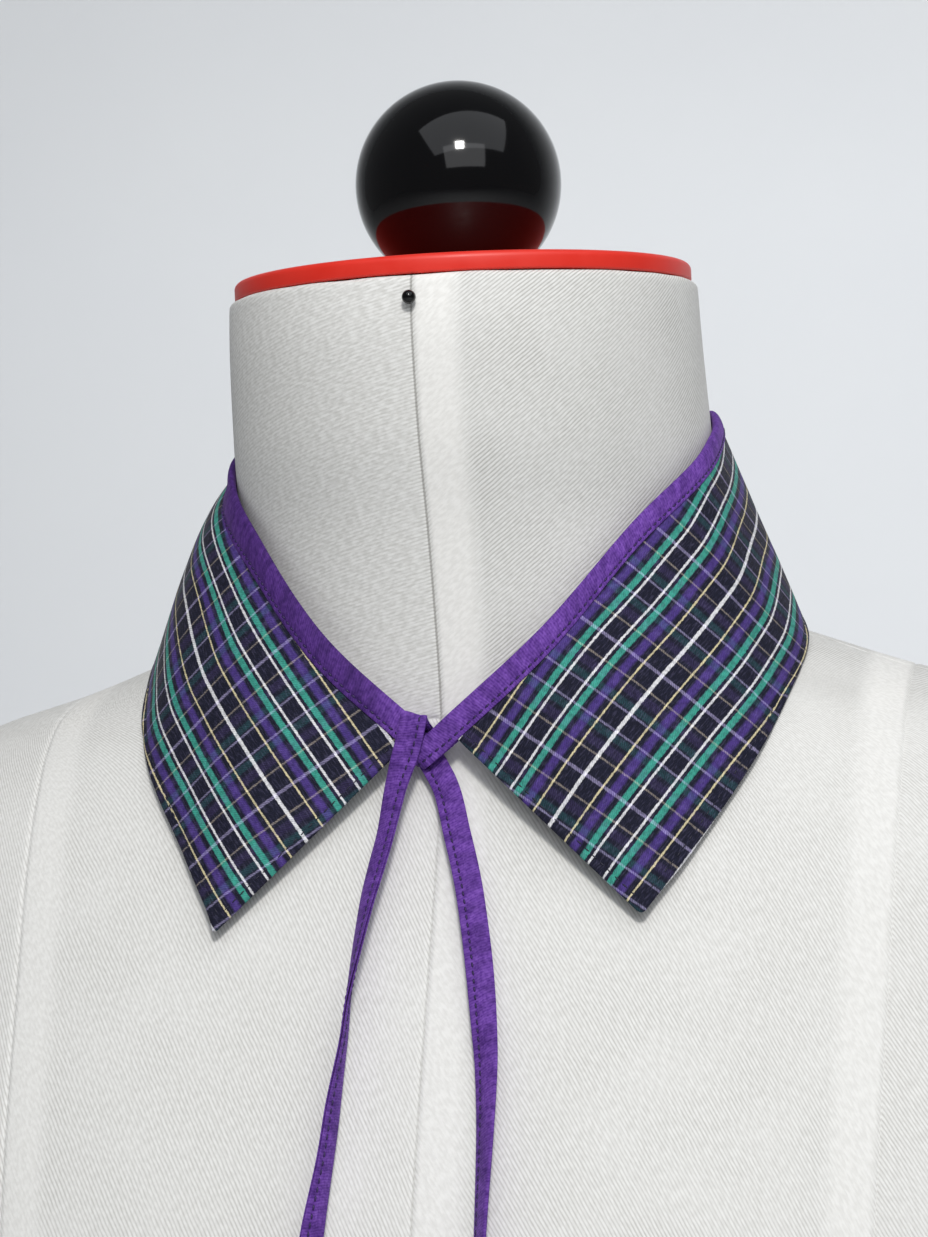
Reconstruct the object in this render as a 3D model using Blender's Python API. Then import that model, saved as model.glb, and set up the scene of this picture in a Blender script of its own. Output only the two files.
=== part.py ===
"""A fabric collar necklace resting on a limbless dress form.

The collar is one double layer of woven check, cut on the fold at the centre back, with two
pointed fronts. A bias strip is folded over its neckline and runs on past both fronts: it is
tied in a half knot at the centre front and its two ends hang down over the chest.

Metres, +Z up. The form faces -Y and stands on Z = 0. X = 0 is its centre front seam.
"""
from math import cos, pi, sin

import bmesh
import bpy
from mathutils import Vector

# --- dress form ------------------------------------------------------------------------
NECK_TOP = 0.590
ARM_CUT = 0.158        # the side is cut off flat here, where an arm would start
ARM_CUT_SHARPNESS = 24
FORM_SIDES = 56
RINGS_BETWEEN_ROWS = 2

# One row for each level of the form, from the flat base up to the neck plate.
# height, half width, front y, back y, squareness (2 is an ellipse)
FORM_ROWS = (
    (0.0000, 0.1530, -0.0975, 0.0995, 2.40),
    (0.0300, 0.1420, -0.0950, 0.0930, 2.40),
    (0.0700, 0.1270, -0.0910, 0.0830, 2.30),
    (0.1150, 0.1180, -0.0890, 0.0760, 2.20),   # waist
    (0.1700, 0.1240, -0.0970, 0.0800, 2.20),
    (0.2250, 0.1360, -0.1110, 0.0890, 2.30),
    (0.2700, 0.1480, -0.1220, 0.0965, 2.40),
    (0.3100, 0.1570, -0.1235, 0.1015, 2.40),   # fullest at the chest
    (0.3500, 0.1660, -0.1140, 0.1040, 2.40),
    (0.3830, 0.1715, -0.1008, 0.1035, 2.40),
    (0.4090, 0.1745, -0.0875, 0.1010, 2.35),
    (0.4300, 0.1750, -0.0757, 0.0975, 2.30),
    (0.4490, 0.1725, -0.0648, 0.0930, 2.30),
    (0.4650, 0.1655, -0.0560, 0.0885, 2.20),
    (0.4780, 0.1520, -0.0500, 0.0838, 2.00),
    (0.4875, 0.1320, -0.0480, 0.0800, 1.82),
    (0.4950, 0.1055, -0.0478, 0.0770, 1.75),
    (0.5015, 0.0870, -0.0482, 0.0745, 1.75),
    (0.5070, 0.0730, -0.0488, 0.0725, 1.80),
    (0.5160, 0.0640, -0.0500, 0.0700, 1.88),
    (0.5330, 0.0600, -0.0530, 0.0665, 1.88),   # neck
    (0.5570, 0.0586, -0.0585, 0.0620, 1.95),
    (0.5780, 0.0576, -0.0602, 0.0585, 2.00),
    (NECK_TOP, 0.0572, -0.0585, 0.0565, 2.00),
)

PLATE_THICKNESS = 0.0044
PLATE_INSET = 0.0014   # how far the plate's rim stands in from the neck's edge
PLATE_ROUNDING = 0.0014
BALL_RADIUS = 0.0252
BALL_CENTRE = NECK_TOP + 0.0270
PIN_RADIUS = 0.0016
PIN_HEIGHT = NECK_TOP - 0.0054

# --- cloth -----------------------------------------------------------------------------
SEAM_GAP = 0.0003      # between any two pieces
COLLAR_THICKNESS = 0.0010
COLLAR_OFF_CENTRE = -0.0003
COLLAR_CLEARANCE = 0.0016    # from the form to the middle of the collar's thickness
BINDING_CLEARANCE = 0.0026
BINDING_WIDTH = 0.0070
BINDING_LEAF = 0.0010
RULINGS_BETWEEN_ROWS = 6
COLLAR_COLUMNS = 7

# One row for each section through the collar, from the front edge round to the centre back.
# The rows are on +X; the other half mirrors them, but for its first two, which hang lower.
# neckline x, neckline y, neckline z, outer edge x, outer edge y, outer edge z
COLLAR_ROWS = (
    (0.0010, -0.0532, 0.4888, 0.0481, -0.0692, 0.4457),   # front edge, down to the point
    (0.0252, -0.0488, 0.5098, 0.0500, -0.0674, 0.4486),
    (0.0447, -0.0353, 0.5323, 0.0594, -0.0588, 0.4600),
    (0.0582, -0.0144, 0.5477, 0.0745, -0.0398, 0.4828),
    (0.0586, 0.0145, 0.5583, 0.0814, -0.0081, 0.5026),    # over the shoulder, snug to the neck
    (0.0520, 0.0323, 0.5602, 0.0722, 0.0231, 0.5092),
    (0.0405, 0.0463, 0.5616, 0.0548, 0.0482, 0.5110),
    (0.0236, 0.0578, 0.5626, 0.0310, 0.0667, 0.5108),
    (0.0000, 0.0629, 0.5630, 0.0000, 0.0745, 0.5092),     # centre back
)
LOWER_FRONT_ROWS = (
    (0.0029, -0.0518, 0.4876, 0.0491, -0.0700, 0.4440),
    (0.0258, -0.0491, 0.5091, 0.0512, -0.0680, 0.4474),
)

TIE_WIDTH = 0.0063
TIE_THICKNESS = 0.0012
STATIONS_BETWEEN_ROWS = 3

# Routes of the strip past the fronts: one row for each station, top to bottom.
# x, height, distance from the form to the strip's middle, turn of its width in radians
# (0 lies flat across the front; below 0 the edge on +X comes forward)
TIE_LEFT_ROUTE = (
    (-0.0036, 0.4868, 0.0011, 0.00),    # comes up behind the knot
    (-0.0037, 0.4896, 0.0012, 0.00),
    (-0.0039, 0.4912, 0.0024, 0.00),    # folds over the top of it
    (-0.0040, 0.4917, 0.0044, 0.00),
    (-0.0041, 0.4911, 0.0068, 0.00),
    (-0.0044, 0.4891, 0.0082, 0.00),    # and hangs down in front
    (-0.0050, 0.4862, 0.0085, 0.00),
    (-0.0061, 0.4826, 0.0084, -0.05),
    (-0.0076, 0.4784, 0.0077, -0.25),
    (-0.0091, 0.4737, 0.0068, -0.48),
    (-0.0106, 0.4650, 0.0059, -0.60),
    (-0.0123, 0.4576, 0.0058, -0.72),
    (-0.0138, 0.4503, 0.0058, -0.85),
    (-0.0153, 0.4402, 0.0058, -1.05),
    (-0.0162, 0.4315, 0.0058, -1.36),
    (-0.0165, 0.4220, 0.0058, -1.56),
    (-0.0174, 0.4103, 0.0057, -1.68),
    (-0.0183, 0.3987, 0.0056, -1.76),
    (-0.0202, 0.3838, 0.0052, -2.08),
    (-0.0217, 0.3660, 0.0046, -2.40),
    (-0.0224, 0.3460, 0.0041, -2.62),
    (-0.0221, 0.3260, 0.0037, -2.70),
    (-0.0214, 0.3060, 0.0035, -2.75),
)
TIE_RIGHT_ROUTE = (
    (-0.0051, 0.4847, 0.0039, 0.00),    # from the binding on -X
    (-0.0036, 0.4828, 0.0034, 0.00),
    (-0.0016, 0.4801, 0.0032, 0.00),    # passes behind the knot
    (0.0000, 0.4776, 0.0033, -0.08),
    (0.0018, 0.4745, 0.0035, -0.16),
    (0.0034, 0.4705, 0.0038, -0.08),
    (0.0052, 0.4645, 0.0040, 0.00),
    (0.0076, 0.4570, 0.0041, 0.04),
    (0.0095, 0.4499, 0.0041, 0.06),
    (0.0123, 0.4368, 0.0042, 0.00),
    (0.0144, 0.4238, 0.0046, -0.18),
    (0.0154, 0.4154, 0.0047, -0.38),
    (0.0159, 0.4031, 0.0048, -0.54),
    (0.0160, 0.3840, 0.0047, -0.68),
    (0.0159, 0.3660, 0.0045, -0.70),
    (0.0158, 0.3460, 0.0041, -0.60),
    (0.0160, 0.3270, 0.0037, -0.40),
    (0.0166, 0.3120, 0.0035, -0.25),
)
KNOT_CROSS_ROUTE = (
    (0.0026, 0.4861, 0.0057, 0.00),     # from the binding on +X, across the front
    (0.0014, 0.4850, 0.0062, 0.00),
    (0.0000, 0.4839, 0.0065, 0.00),
    (-0.0014, 0.4827, 0.0066, 0.00),
    (-0.0026, 0.4816, 0.0067, 0.00),
)
KNOT_WRAP_ROUTE = (
    (-0.0034, 0.4790, 0.0011, 0.00),    # flat against the form, behind the rest
    (-0.0035, 0.4823, 0.0011, 0.00),
    (-0.0036, 0.4856, 0.0011, 0.00),
)
KNOT_LEAN = -0.3       # the fold over the top of the knot is lower at its +X end


def clear_scene():
    for thing in list(bpy.data.objects):
        bpy.data.objects.remove(thing, do_unlink=True)


def make_material(name, colour, roughness, metallic=0.0):
    material = bpy.data.materials.new(name)
    material.use_nodes = True
    shader = material.node_tree.nodes["Principled BSDF"]
    shader.inputs["Base Color"].default_value = (*colour, 1.0)
    shader.inputs["Roughness"].default_value = roughness
    shader.inputs["Metallic"].default_value = metallic
    return material


def add_object(name, points, faces, material):
    """A closed mesh object with its faces turned outwards."""
    mesh = bpy.data.meshes.new(name)
    mesh.from_pydata([tuple(point) for point in points], [], faces)
    shape = bmesh.new()
    shape.from_mesh(mesh)
    bmesh.ops.recalc_face_normals(shape, faces=shape.faces)
    shape.to_mesh(mesh)
    shape.free()
    mesh.materials.append(material)
    mesh.shade_smooth()
    mesh.set_sharp_from_angle(angle=0.7)
    thing = bpy.data.objects.new(name, mesh)
    bpy.context.collection.objects.link(thing)
    return thing


def loft(rings, caps):
    """Points and faces of equal closed rings joined in turn, with the two ends capped.

    caps lists the polygons that close one end, as places in a ring.
    """
    size = len(rings[0])
    points = [point for ring in rings for point in ring]
    faces = []
    for row in range(len(rings) - 1):
        for place in range(size):
            after = (place + 1) % size
            low, high = row * size, (row + 1) * size
            faces.append((low + place, low + after, high + after, high + place))
    last = (len(rings) - 1) * size
    faces.extend([tuple(reversed(cap)) for cap in caps])
    faces.extend([tuple(last + place for place in cap) for cap in caps])
    return points, faces


# --- the dress form's surface ------------------------------------------------------------
def smooth_slopes(places, values):
    """Slopes that carry a smooth curve through the values without overshooting them."""
    steps = [(values[i + 1] - values[i]) / (places[i + 1] - places[i]) for i in range(len(values) - 1)]
    slopes = [steps[0]]
    for before, after in zip(steps, steps[1:]):
        slopes.append(0.0 if before * after <= 0 else 2 * before * after / (before + after))
    slopes.append(steps[-1])
    return slopes


FORM_HEIGHTS = [row[0] for row in FORM_ROWS]
FORM_COLUMNS = [[row[column] for row in FORM_ROWS] for column in range(1, 5)]
FORM_SLOPES = [smooth_slopes(FORM_HEIGHTS, column) for column in FORM_COLUMNS]


def form_section(height):
    """Half width, front y, back y and squareness of the form at a height."""
    height = min(max(height, 0.0), NECK_TOP)
    row = max(i for i in range(len(FORM_HEIGHTS) - 1) if FORM_HEIGHTS[i] <= height)
    span = FORM_HEIGHTS[row + 1] - FORM_HEIGHTS[row]
    t = (height - FORM_HEIGHTS[row]) / span
    start, leave = 2 * t**3 - 3 * t**2 + 1, t**3 - 2 * t**2 + t
    end, arrive = -2 * t**3 + 3 * t**2, t**3 - t**2
    return [
        column[row] * start + slopes[row] * span * leave
        + column[row + 1] * end + slopes[row + 1] * span * arrive
        for column, slopes in zip(FORM_COLUMNS, FORM_SLOPES)
    ]


def form_point(turn, height):
    """The form's surface at a height; turn 0 is the front, a quarter turn is +X."""
    half_width, front, back, squareness = form_section(height)
    across, along = sin(turn), -cos(turn)
    reach = (abs(across)**squareness + abs(along)**squareness)**(-1 / squareness)
    x = half_width * reach * across
    x /= (1 + abs(x / ARM_CUT)**ARM_CUT_SHARPNESS)**(1 / ARM_CUT_SHARPNESS)
    return Vector((x, (front + back) / 2 + (back - front) / 2 * reach * along, height))


def form_level(x, y, z):
    """Below 0 inside the form, 0 on its surface, above 0 outside."""
    half_width, front, back, squareness = form_section(z)
    across = abs(x) / half_width
    along = abs(y - (front + back) / 2) * 2 / (back - front)
    return (across**squareness + along**squareness)**(1 / squareness) - 1


def kept_clear(point, clearance):
    """The point, moved straight out from the form if it is nearer to it than the clearance."""
    point = Vector(point)
    step = 0.0002
    for _ in range(3):
        x, y, z = point
        slope = Vector((
            form_level(x + step, y, z) - form_level(x - step, y, z),
            form_level(x, y + step, z) - form_level(x, y - step, z),
            form_level(x, y, z + step) - form_level(x, y, z - step),
        )) / (2 * step)
        gap = form_level(x, y, z) / slope.length
        if gap < clearance:
            point += slope.normalized() * (clearance - gap)
    return point


def in_front(x, height, distance):
    """A point the given distance in front of the form's front surface."""
    half_width, front, back, squareness = form_section(height)
    depth = (back - front) / 2 * (1 - abs(x / half_width)**squareness)**(1 / squareness)
    return Vector((x, (front + back) / 2 - depth - distance, height))


def build_form(material):
    heights = [0.0]
    for low, high in zip(FORM_HEIGHTS, FORM_HEIGHTS[1:]):
        heights += [low + (high - low) * (i + 1) / RINGS_BETWEEN_ROWS for i in range(RINGS_BETWEEN_ROWS)]
    rings = [[form_point(2 * pi * i / FORM_SIDES, height) for i in range(FORM_SIDES)] for height in heights]
    points, faces = loft(rings, [tuple(range(FORM_SIDES))])
    add_object("dress_form", points, faces, material)


def build_plate(material):
    """The flat plate on the neck, its rim a little inside the neck's edge and rounded."""
    half_width, front, back, _ = form_section(NECK_TOP)
    bottom = NECK_TOP + SEAM_GAP
    top = bottom + PLATE_THICKNESS
    rims = [(bottom, PLATE_INSET + PLATE_ROUNDING / 2), (bottom + PLATE_ROUNDING / 2, PLATE_INSET)]
    for i in range(4):
        turn = pi / 2 * i / 3
        rims.append((top - PLATE_ROUNDING * (1 - sin(turn)), PLATE_INSET + PLATE_ROUNDING * (1 - cos(turn))))
    rings = []
    for height, inset in rims:
        across, along = half_width - inset, (back - front) / 2 - inset
        rings.append([
            Vector((across * sin(2 * pi * i / FORM_SIDES),
                    (front + back) / 2 - along * cos(2 * pi * i / FORM_SIDES), height))
            for i in range(FORM_SIDES)
        ])
    points, faces = loft(rings, [tuple(range(FORM_SIDES))])
    add_object("neck_plate", points, faces, material)


def build_ball(material):
    """The ball knob, turned flat where it is screwed down on the plate."""
    _, front, back, _ = form_section(NECK_TOP)
    seat = NECK_TOP + PLATE_THICKNESS + 2 * SEAM_GAP
    shape = bmesh.new()
    bmesh.ops.create_uvsphere(shape, u_segments=32, v_segments=18, radius=BALL_RADIUS)
    bmesh.ops.translate(shape, verts=shape.verts, vec=(0, (front + back) / 2, BALL_CENTRE))
    everything = shape.verts[:] + shape.edges[:] + shape.faces[:]
    cut = bmesh.ops.bisect_plane(
        shape, geom=everything, plane_co=(0, 0, seat), plane_no=(0, 0, -1), clear_outer=True)
    rim = [item for item in cut["geom_cut"] if isinstance(item, bmesh.types.BMEdge)]
    bmesh.ops.contextual_create(shape, geom=rim)
    finish_round("ball_knob", shape, material)


def build_pin(material):
    """The head of a dressmaker's pin, pushed in at the top of the centre front seam."""
    shape = bmesh.new()
    bmesh.ops.create_uvsphere(shape, u_segments=12, v_segments=8, radius=PIN_RADIUS)
    centre = in_front(0.0, PIN_HEIGHT, PIN_RADIUS + SEAM_GAP)
    bmesh.ops.translate(shape, verts=shape.verts, vec=centre)
    finish_round("pin_head", shape, material)


def finish_round(name, shape, material):
    bmesh.ops.recalc_face_normals(shape, faces=shape.faces)
    mesh = bpy.data.meshes.new(name)
    shape.to_mesh(mesh)
    shape.free()
    mesh.materials.append(material)
    mesh.shade_smooth()
    mesh.set_sharp_from_angle(angle=0.9)
    bpy.context.collection.objects.link(bpy.data.objects.new(name, mesh))


# --- cloth -------------------------------------------------------------------------------
def through_rows(rows, between):
    """Rows of numbers with a smooth run of others between each pair (Catmull-Rom)."""
    padded = [[2 * a - b for a, b in zip(rows[0], rows[1])], *rows,
              [2 * a - b for a, b in zip(rows[-1], rows[-2])]]
    out = []
    for before, start, end, after in zip(padded, padded[1:], padded[2:], padded[3:]):
        for i in range(between):
            t = i / between
            out.append([
                (2 * b + (c - a) * t + (2 * a - 5 * b + 4 * c - d) * t**2 + (3 * b - a - 3 * c + d) * t**3) / 2
                for a, b, c, d in zip(before, start, end, after)
            ])
    return out + [list(rows[-1])]


def collar_rulings():
    """Straight lines across the collar, from neckline to outer edge: left front, back, right front."""
    lower_half = LOWER_FRONT_ROWS + COLLAR_ROWS[len(LOWER_FRONT_ROWS):-1]
    rows = [(-nx, ny, nz, -ox, oy, oz) for nx, ny, nz, ox, oy, oz in lower_half]
    rows += reversed(COLLAR_ROWS)
    shift = Vector((COLLAR_OFF_CENTRE, 0, 0))
    return [
        (Vector(row[:3]) + shift, Vector(row[3:]) + shift)
        for row in through_rows(rows, RULINGS_BETWEEN_ROWS)
    ]


def cloth_point(ruling, distance):
    """The middle of the collar's thickness, at a distance down a ruling from the neckline."""
    neckline, outer = ruling
    point = neckline + (outer - neckline).normalized() * distance
    near_neckline = max(0.0, 1 - distance / (2 * BINDING_WIDTH))
    return kept_clear(point, COLLAR_CLEARANCE + (BINDING_CLEARANCE - COLLAR_CLEARANCE) * near_neckline)


def cloth_outwards(rulings, k, distance):
    """The direction straight out of the collar's face at a distance down ruling k."""
    before, after = rulings[max(k - 1, 0)], rulings[min(k + 1, len(rulings) - 1)]
    along = cloth_point(after, distance) - cloth_point(before, distance)
    step = 0.001
    down = cloth_point(rulings[k], distance + step) - cloth_point(rulings[k], distance - step)
    return along.cross(down).normalized()


def build_collar(material):
    """The double layer of check: a wall between two skins, its neck edge inside the binding."""
    rulings = collar_rulings()
    first = BINDING_LEAF + 2 * SEAM_GAP
    rings = []
    for k, ruling in enumerate(rulings):
        width = (ruling[1] - ruling[0]).length
        depths = [first] + [
            BINDING_WIDTH + (width - BINDING_WIDTH) * j / (COLLAR_COLUMNS - 2) for j in range(COLLAR_COLUMNS - 1)
        ]
        middles = [cloth_point(ruling, depth) for depth in depths]
        outwards = [cloth_outwards(rulings, k, depth) * COLLAR_THICKNESS / 2 for depth in depths]
        upper = [middle + out for middle, out in zip(middles, outwards)]
        under = [middle - out for middle, out in zip(middles, outwards)]
        rings.append(upper + under[::-1])
    last = 2 * COLLAR_COLUMNS - 1
    caps = [(j, j + 1, last - j - 1, last - j) for j in range(COLLAR_COLUMNS - 1)]
    points, faces = loft(rings, caps)
    add_object("collar", points, faces, material)


def build_binding(material):
    """The bias strip folded over the neckline: a leaf on each face, joined over the top."""
    fold = BINDING_LEAF / 2
    inside = COLLAR_THICKNESS / 2 + SEAM_GAP
    outside = inside + BINDING_LEAF
    # down from the neckline, out from the middle of the collar
    section = (
        (BINDING_WIDTH, outside), (fold, outside), (0.0, inside), (0.0, -inside), (fold, -outside),
        (BINDING_WIDTH, -outside), (BINDING_WIDTH, -inside), (BINDING_LEAF, -inside),
        (BINDING_LEAF, inside), (BINDING_WIDTH, inside),
    )
    rulings = collar_rulings()
    rings = [
        [cloth_point(ruling, down) + cloth_outwards(rulings, k, down) * out for down, out in section]
        for k, ruling in enumerate(rulings)
    ]
    points, faces = loft(rings, [(0, 1, 8, 9), (1, 2, 3, 4, 7, 8), (4, 5, 6, 7)])
    add_object("neckline_binding", points, faces, material)


def build_strip(name, route, material, lean=0.0):
    """A flat folded strip along a route in front of the form."""
    stations = through_rows(route, STATIONS_BETWEEN_ROWS)
    middles = [in_front(x, height, distance) for x, height, distance, _ in stations]
    rings = []
    for i, (middle, station) in enumerate(zip(middles, stations)):
        along = (middles[min(i + 1, len(middles) - 1)] - middles[max(i - 1, 0)]).normalized()
        turn = station[3]
        across = Vector((cos(turn), sin(turn), lean))
        across = (across - along * across.dot(along)).normalized() * TIE_WIDTH / 2
        out = along.cross(across).normalized() * TIE_THICKNESS / 2
        rings.append([middle - across - out, middle + across - out, middle + across + out, middle - across + out])
    points, faces = loft(rings, [(0, 1, 2, 3)])
    add_object(name, points, faces, material)


def main():
    clear_scene()
    cover = make_material("twill cover", (0.78, 0.78, 0.77), 0.85)
    red = make_material("red plate", (0.75, 0.03, 0.015), 0.45)
    black = make_material("black gloss", (0.006, 0.006, 0.007), 0.12)
    check = make_material("navy check", (0.018, 0.018, 0.042), 0.85)
    purple = make_material("purple cotton", (0.105, 0.028, 0.28), 0.8)
    build_form(cover)
    build_plate(red)
    build_ball(black)
    build_pin(black)
    build_collar(check)
    build_binding(purple)
    build_strip("knot_cross", KNOT_CROSS_ROUTE, purple)
    build_strip("knot_wrap", KNOT_WRAP_ROUTE, purple)
    build_strip("tie_left", TIE_LEFT_ROUTE, purple, KNOT_LEAN)
    build_strip("tie_right", TIE_RIGHT_ROUTE, purple)


main()
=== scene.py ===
"""The looks of a fabric collar necklace on a limbless dress form.

The collar is a double layer of yarn-dyed check with a bias strip folded over its neckline. The
strip runs on past both fronts, is tied in a half knot and hangs down in two ties. Metres, +Z up.
"""

from math import cos, exp, floor, pi, radians, sin, sqrt

import bmesh
import bpy
from mathutils import Euler, Matrix, Vector
from mathutils.noise import noise


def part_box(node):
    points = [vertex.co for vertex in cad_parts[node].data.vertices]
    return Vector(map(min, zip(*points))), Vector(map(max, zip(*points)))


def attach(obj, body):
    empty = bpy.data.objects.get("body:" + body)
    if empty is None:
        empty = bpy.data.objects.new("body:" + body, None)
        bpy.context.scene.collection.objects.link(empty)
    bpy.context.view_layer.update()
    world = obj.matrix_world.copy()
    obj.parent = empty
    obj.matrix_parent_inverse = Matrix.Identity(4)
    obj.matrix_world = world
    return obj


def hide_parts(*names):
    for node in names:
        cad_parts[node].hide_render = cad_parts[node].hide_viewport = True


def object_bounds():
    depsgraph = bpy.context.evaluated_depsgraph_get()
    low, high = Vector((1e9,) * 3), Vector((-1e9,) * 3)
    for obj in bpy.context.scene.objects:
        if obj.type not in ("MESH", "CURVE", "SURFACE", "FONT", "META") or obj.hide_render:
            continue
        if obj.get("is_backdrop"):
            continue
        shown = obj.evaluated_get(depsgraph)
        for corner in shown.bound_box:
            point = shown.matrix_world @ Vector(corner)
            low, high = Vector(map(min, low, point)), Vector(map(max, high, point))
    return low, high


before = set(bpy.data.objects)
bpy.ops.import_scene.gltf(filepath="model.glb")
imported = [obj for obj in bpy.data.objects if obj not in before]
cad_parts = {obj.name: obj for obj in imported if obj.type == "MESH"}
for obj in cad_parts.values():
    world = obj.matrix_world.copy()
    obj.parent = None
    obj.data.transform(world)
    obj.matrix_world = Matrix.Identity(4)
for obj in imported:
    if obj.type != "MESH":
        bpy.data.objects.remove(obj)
cad_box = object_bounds()

MM = 0.001

# --- dress form, as in the CAD ---
NECK_TOP = 0.590
NECK_FOOT = 0.485     # at the centre front
ARM_CUT = 0.158
ARM_CUT_SHARPNESS = 24

# height, half width, front y, back y, squareness (2 is an ellipse)
FORM_ROWS = (
    (0.0000, 0.1530, -0.0975, 0.0995, 2.40),
    (0.0300, 0.1420, -0.0950, 0.0930, 2.40),
    (0.0700, 0.1270, -0.0910, 0.0830, 2.30),
    (0.1150, 0.1180, -0.0890, 0.0760, 2.20),   # waist
    (0.1700, 0.1240, -0.0970, 0.0800, 2.20),
    (0.2250, 0.1360, -0.1110, 0.0890, 2.30),
    (0.2700, 0.1480, -0.1220, 0.0965, 2.40),
    (0.3100, 0.1570, -0.1235, 0.1015, 2.40),   # fullest at the chest
    (0.3500, 0.1660, -0.1140, 0.1040, 2.40),
    (0.3830, 0.1715, -0.1008, 0.1035, 2.40),
    (0.4090, 0.1745, -0.0875, 0.1010, 2.35),
    (0.4300, 0.1750, -0.0757, 0.0975, 2.30),
    (0.4490, 0.1725, -0.0648, 0.0930, 2.30),
    (0.4650, 0.1655, -0.0560, 0.0885, 2.20),
    (0.4780, 0.1520, -0.0500, 0.0838, 2.00),
    (0.4875, 0.1320, -0.0480, 0.0800, 1.82),
    (0.4950, 0.1055, -0.0478, 0.0770, 1.75),
    (0.5015, 0.0870, -0.0482, 0.0745, 1.75),
    (0.5070, 0.0730, -0.0488, 0.0725, 1.80),
    (0.5160, 0.0640, -0.0500, 0.0700, 1.88),
    (0.5330, 0.0600, -0.0530, 0.0665, 1.88),   # neck
    (0.5570, 0.0586, -0.0585, 0.0620, 1.95),
    (0.5780, 0.0576, -0.0602, 0.0585, 2.00),
    (NECK_TOP, 0.0572, -0.0585, 0.0565, 2.00),
)

# --- the collar's sections, as in the CAD ---
COLLAR_OFF_CENTRE = -0.0003
COLLAR_CLEARANCE = 0.0009    # from the form to the middle of the real cloth, thinner than in the CAD
BINDING_CLEARANCE = 0.0013
BINDING_WIDTH = 0.0070
NECK_EDGE_DEPTH = 0.0016     # the check's cut neck edge lies this far inside the binding

# neckline x, neckline y, neckline z, outer edge x, outer edge y, outer edge z
COLLAR_ROWS = (
    (0.0010, -0.0532, 0.4888, 0.0481, -0.0692, 0.4457),   # front edge, down to the point
    (0.0252, -0.0488, 0.5098, 0.0500, -0.0674, 0.4486),
    (0.0447, -0.0353, 0.5323, 0.0594, -0.0588, 0.4600),
    (0.0582, -0.0144, 0.5477, 0.0745, -0.0398, 0.4828),
    (0.0586, 0.0145, 0.5583, 0.0814, -0.0081, 0.5026),    # over the shoulder, snug to the neck
    (0.0520, 0.0323, 0.5602, 0.0722, 0.0231, 0.5092),
    (0.0405, 0.0463, 0.5616, 0.0548, 0.0482, 0.5110),
    (0.0236, 0.0578, 0.5626, 0.0310, 0.0667, 0.5108),
    (0.0000, 0.0629, 0.5630, 0.0000, 0.0745, 0.5092),     # centre back
)
LOWER_FRONT_ROWS = (
    (0.0029, -0.0518, 0.4876, 0.0499, -0.0703, 0.4432),
    (0.0258, -0.0491, 0.5091, 0.0512, -0.0680, 0.4474),
)

# --- routes of the strip past the fronts, as in the CAD but pressed flat at the knot ---
TIE_WIDTH = 0.0063

# x, height, distance from the form, turn of the width in radians, lean of the width
TIE_LEFT_ROUTE = (
    (-0.0038, 0.4860, 0.0020, 0.00),    # comes up behind the knot
    (-0.0040, 0.4878, 0.0040, 0.00),
    (-0.0043, 0.4892, 0.0062, 0.00),
    (-0.0045, 0.4900, 0.0072, 0.00),
    (-0.0046, 0.4905, 0.0077, 0.00),    # creased over the top of it
    (-0.0047, 0.4900, 0.0083, 0.00),
    (-0.0050, 0.4885, 0.0085, 0.00),
    (-0.0056, 0.4860, 0.0085, 0.00),
    (-0.0066, 0.4824, 0.0083, -0.05),
    (-0.0080, 0.4783, 0.0077, -0.32),
    (-0.0093, 0.4737, 0.0068, -0.60),
    (-0.0108, 0.4650, 0.0060, -0.88),
    (-0.0124, 0.4576, 0.0060, -0.97),
    (-0.0139, 0.4503, 0.0060, -1.08),
    (-0.0153, 0.4402, 0.0060, -1.26),
    (-0.0162, 0.4315, 0.0059, -1.42),
    (-0.0165, 0.4220, 0.0058, -1.56),
    (-0.0175, 0.4103, 0.0057, -1.76),
    (-0.0184, 0.3987, 0.0056, -1.86),
    (-0.0202, 0.3838, 0.0052, -2.14),
    (-0.0217, 0.3660, 0.0046, -2.40),
    (-0.0224, 0.3460, 0.0041, -2.62),
    (-0.0221, 0.3260, 0.0037, -2.70),
    (-0.0214, 0.3060, 0.0035, -2.75),
)
TIE_RIGHT_ROUTE = (
    (-0.0051, 0.4847, 0.0039, 0.00),
    (-0.0036, 0.4828, 0.0034, 0.00),
    (-0.0016, 0.4801, 0.0032, 0.00),
    (0.0000, 0.4776, 0.0033, -0.08),
    (0.0018, 0.4745, 0.0035, -0.16),
    (0.0034, 0.4705, 0.0038, -0.08),
    (0.0052, 0.4645, 0.0040, 0.00),
    (0.0076, 0.4570, 0.0041, 0.04),
    (0.0095, 0.4499, 0.0041, 0.06),
    (0.0123, 0.4368, 0.0042, 0.00),
    (0.0145, 0.4238, 0.0046, -0.34),
    (0.0155, 0.4154, 0.0047, -0.60),
    (0.0160, 0.4031, 0.0048, -0.86),
    (0.0160, 0.3840, 0.0048, -1.06),
    (0.0159, 0.3660, 0.0047, -1.08),
    (0.0158, 0.3460, 0.0045, -0.95),
    (0.0160, 0.3270, 0.0040, -0.65),
    (0.0166, 0.3120, 0.0035, -0.25),
)
KNOT_ROUTE = (
    (0.0026, 0.4861, 0.0057, 0.00),     # from the binding on +X, across the front
    (-0.0001, 0.4841, 0.0062, 0.00),
    (-0.0028, 0.4820, 0.0064, 0.00),
    (-0.0049, 0.4806, 0.0056, 0.00),
    (-0.0060, 0.4799, 0.0036, 0.00),    # round the lower end
    (-0.0053, 0.4804, 0.0018, 0.00),
    (-0.0040, 0.4822, 0.0011, 0.00),
    (-0.0038, 0.4856, 0.0014, 0.00),    # and up behind the knot
)
KNOT_LEAN = -0.36
CROSS_LEAN = -0.45

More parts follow.
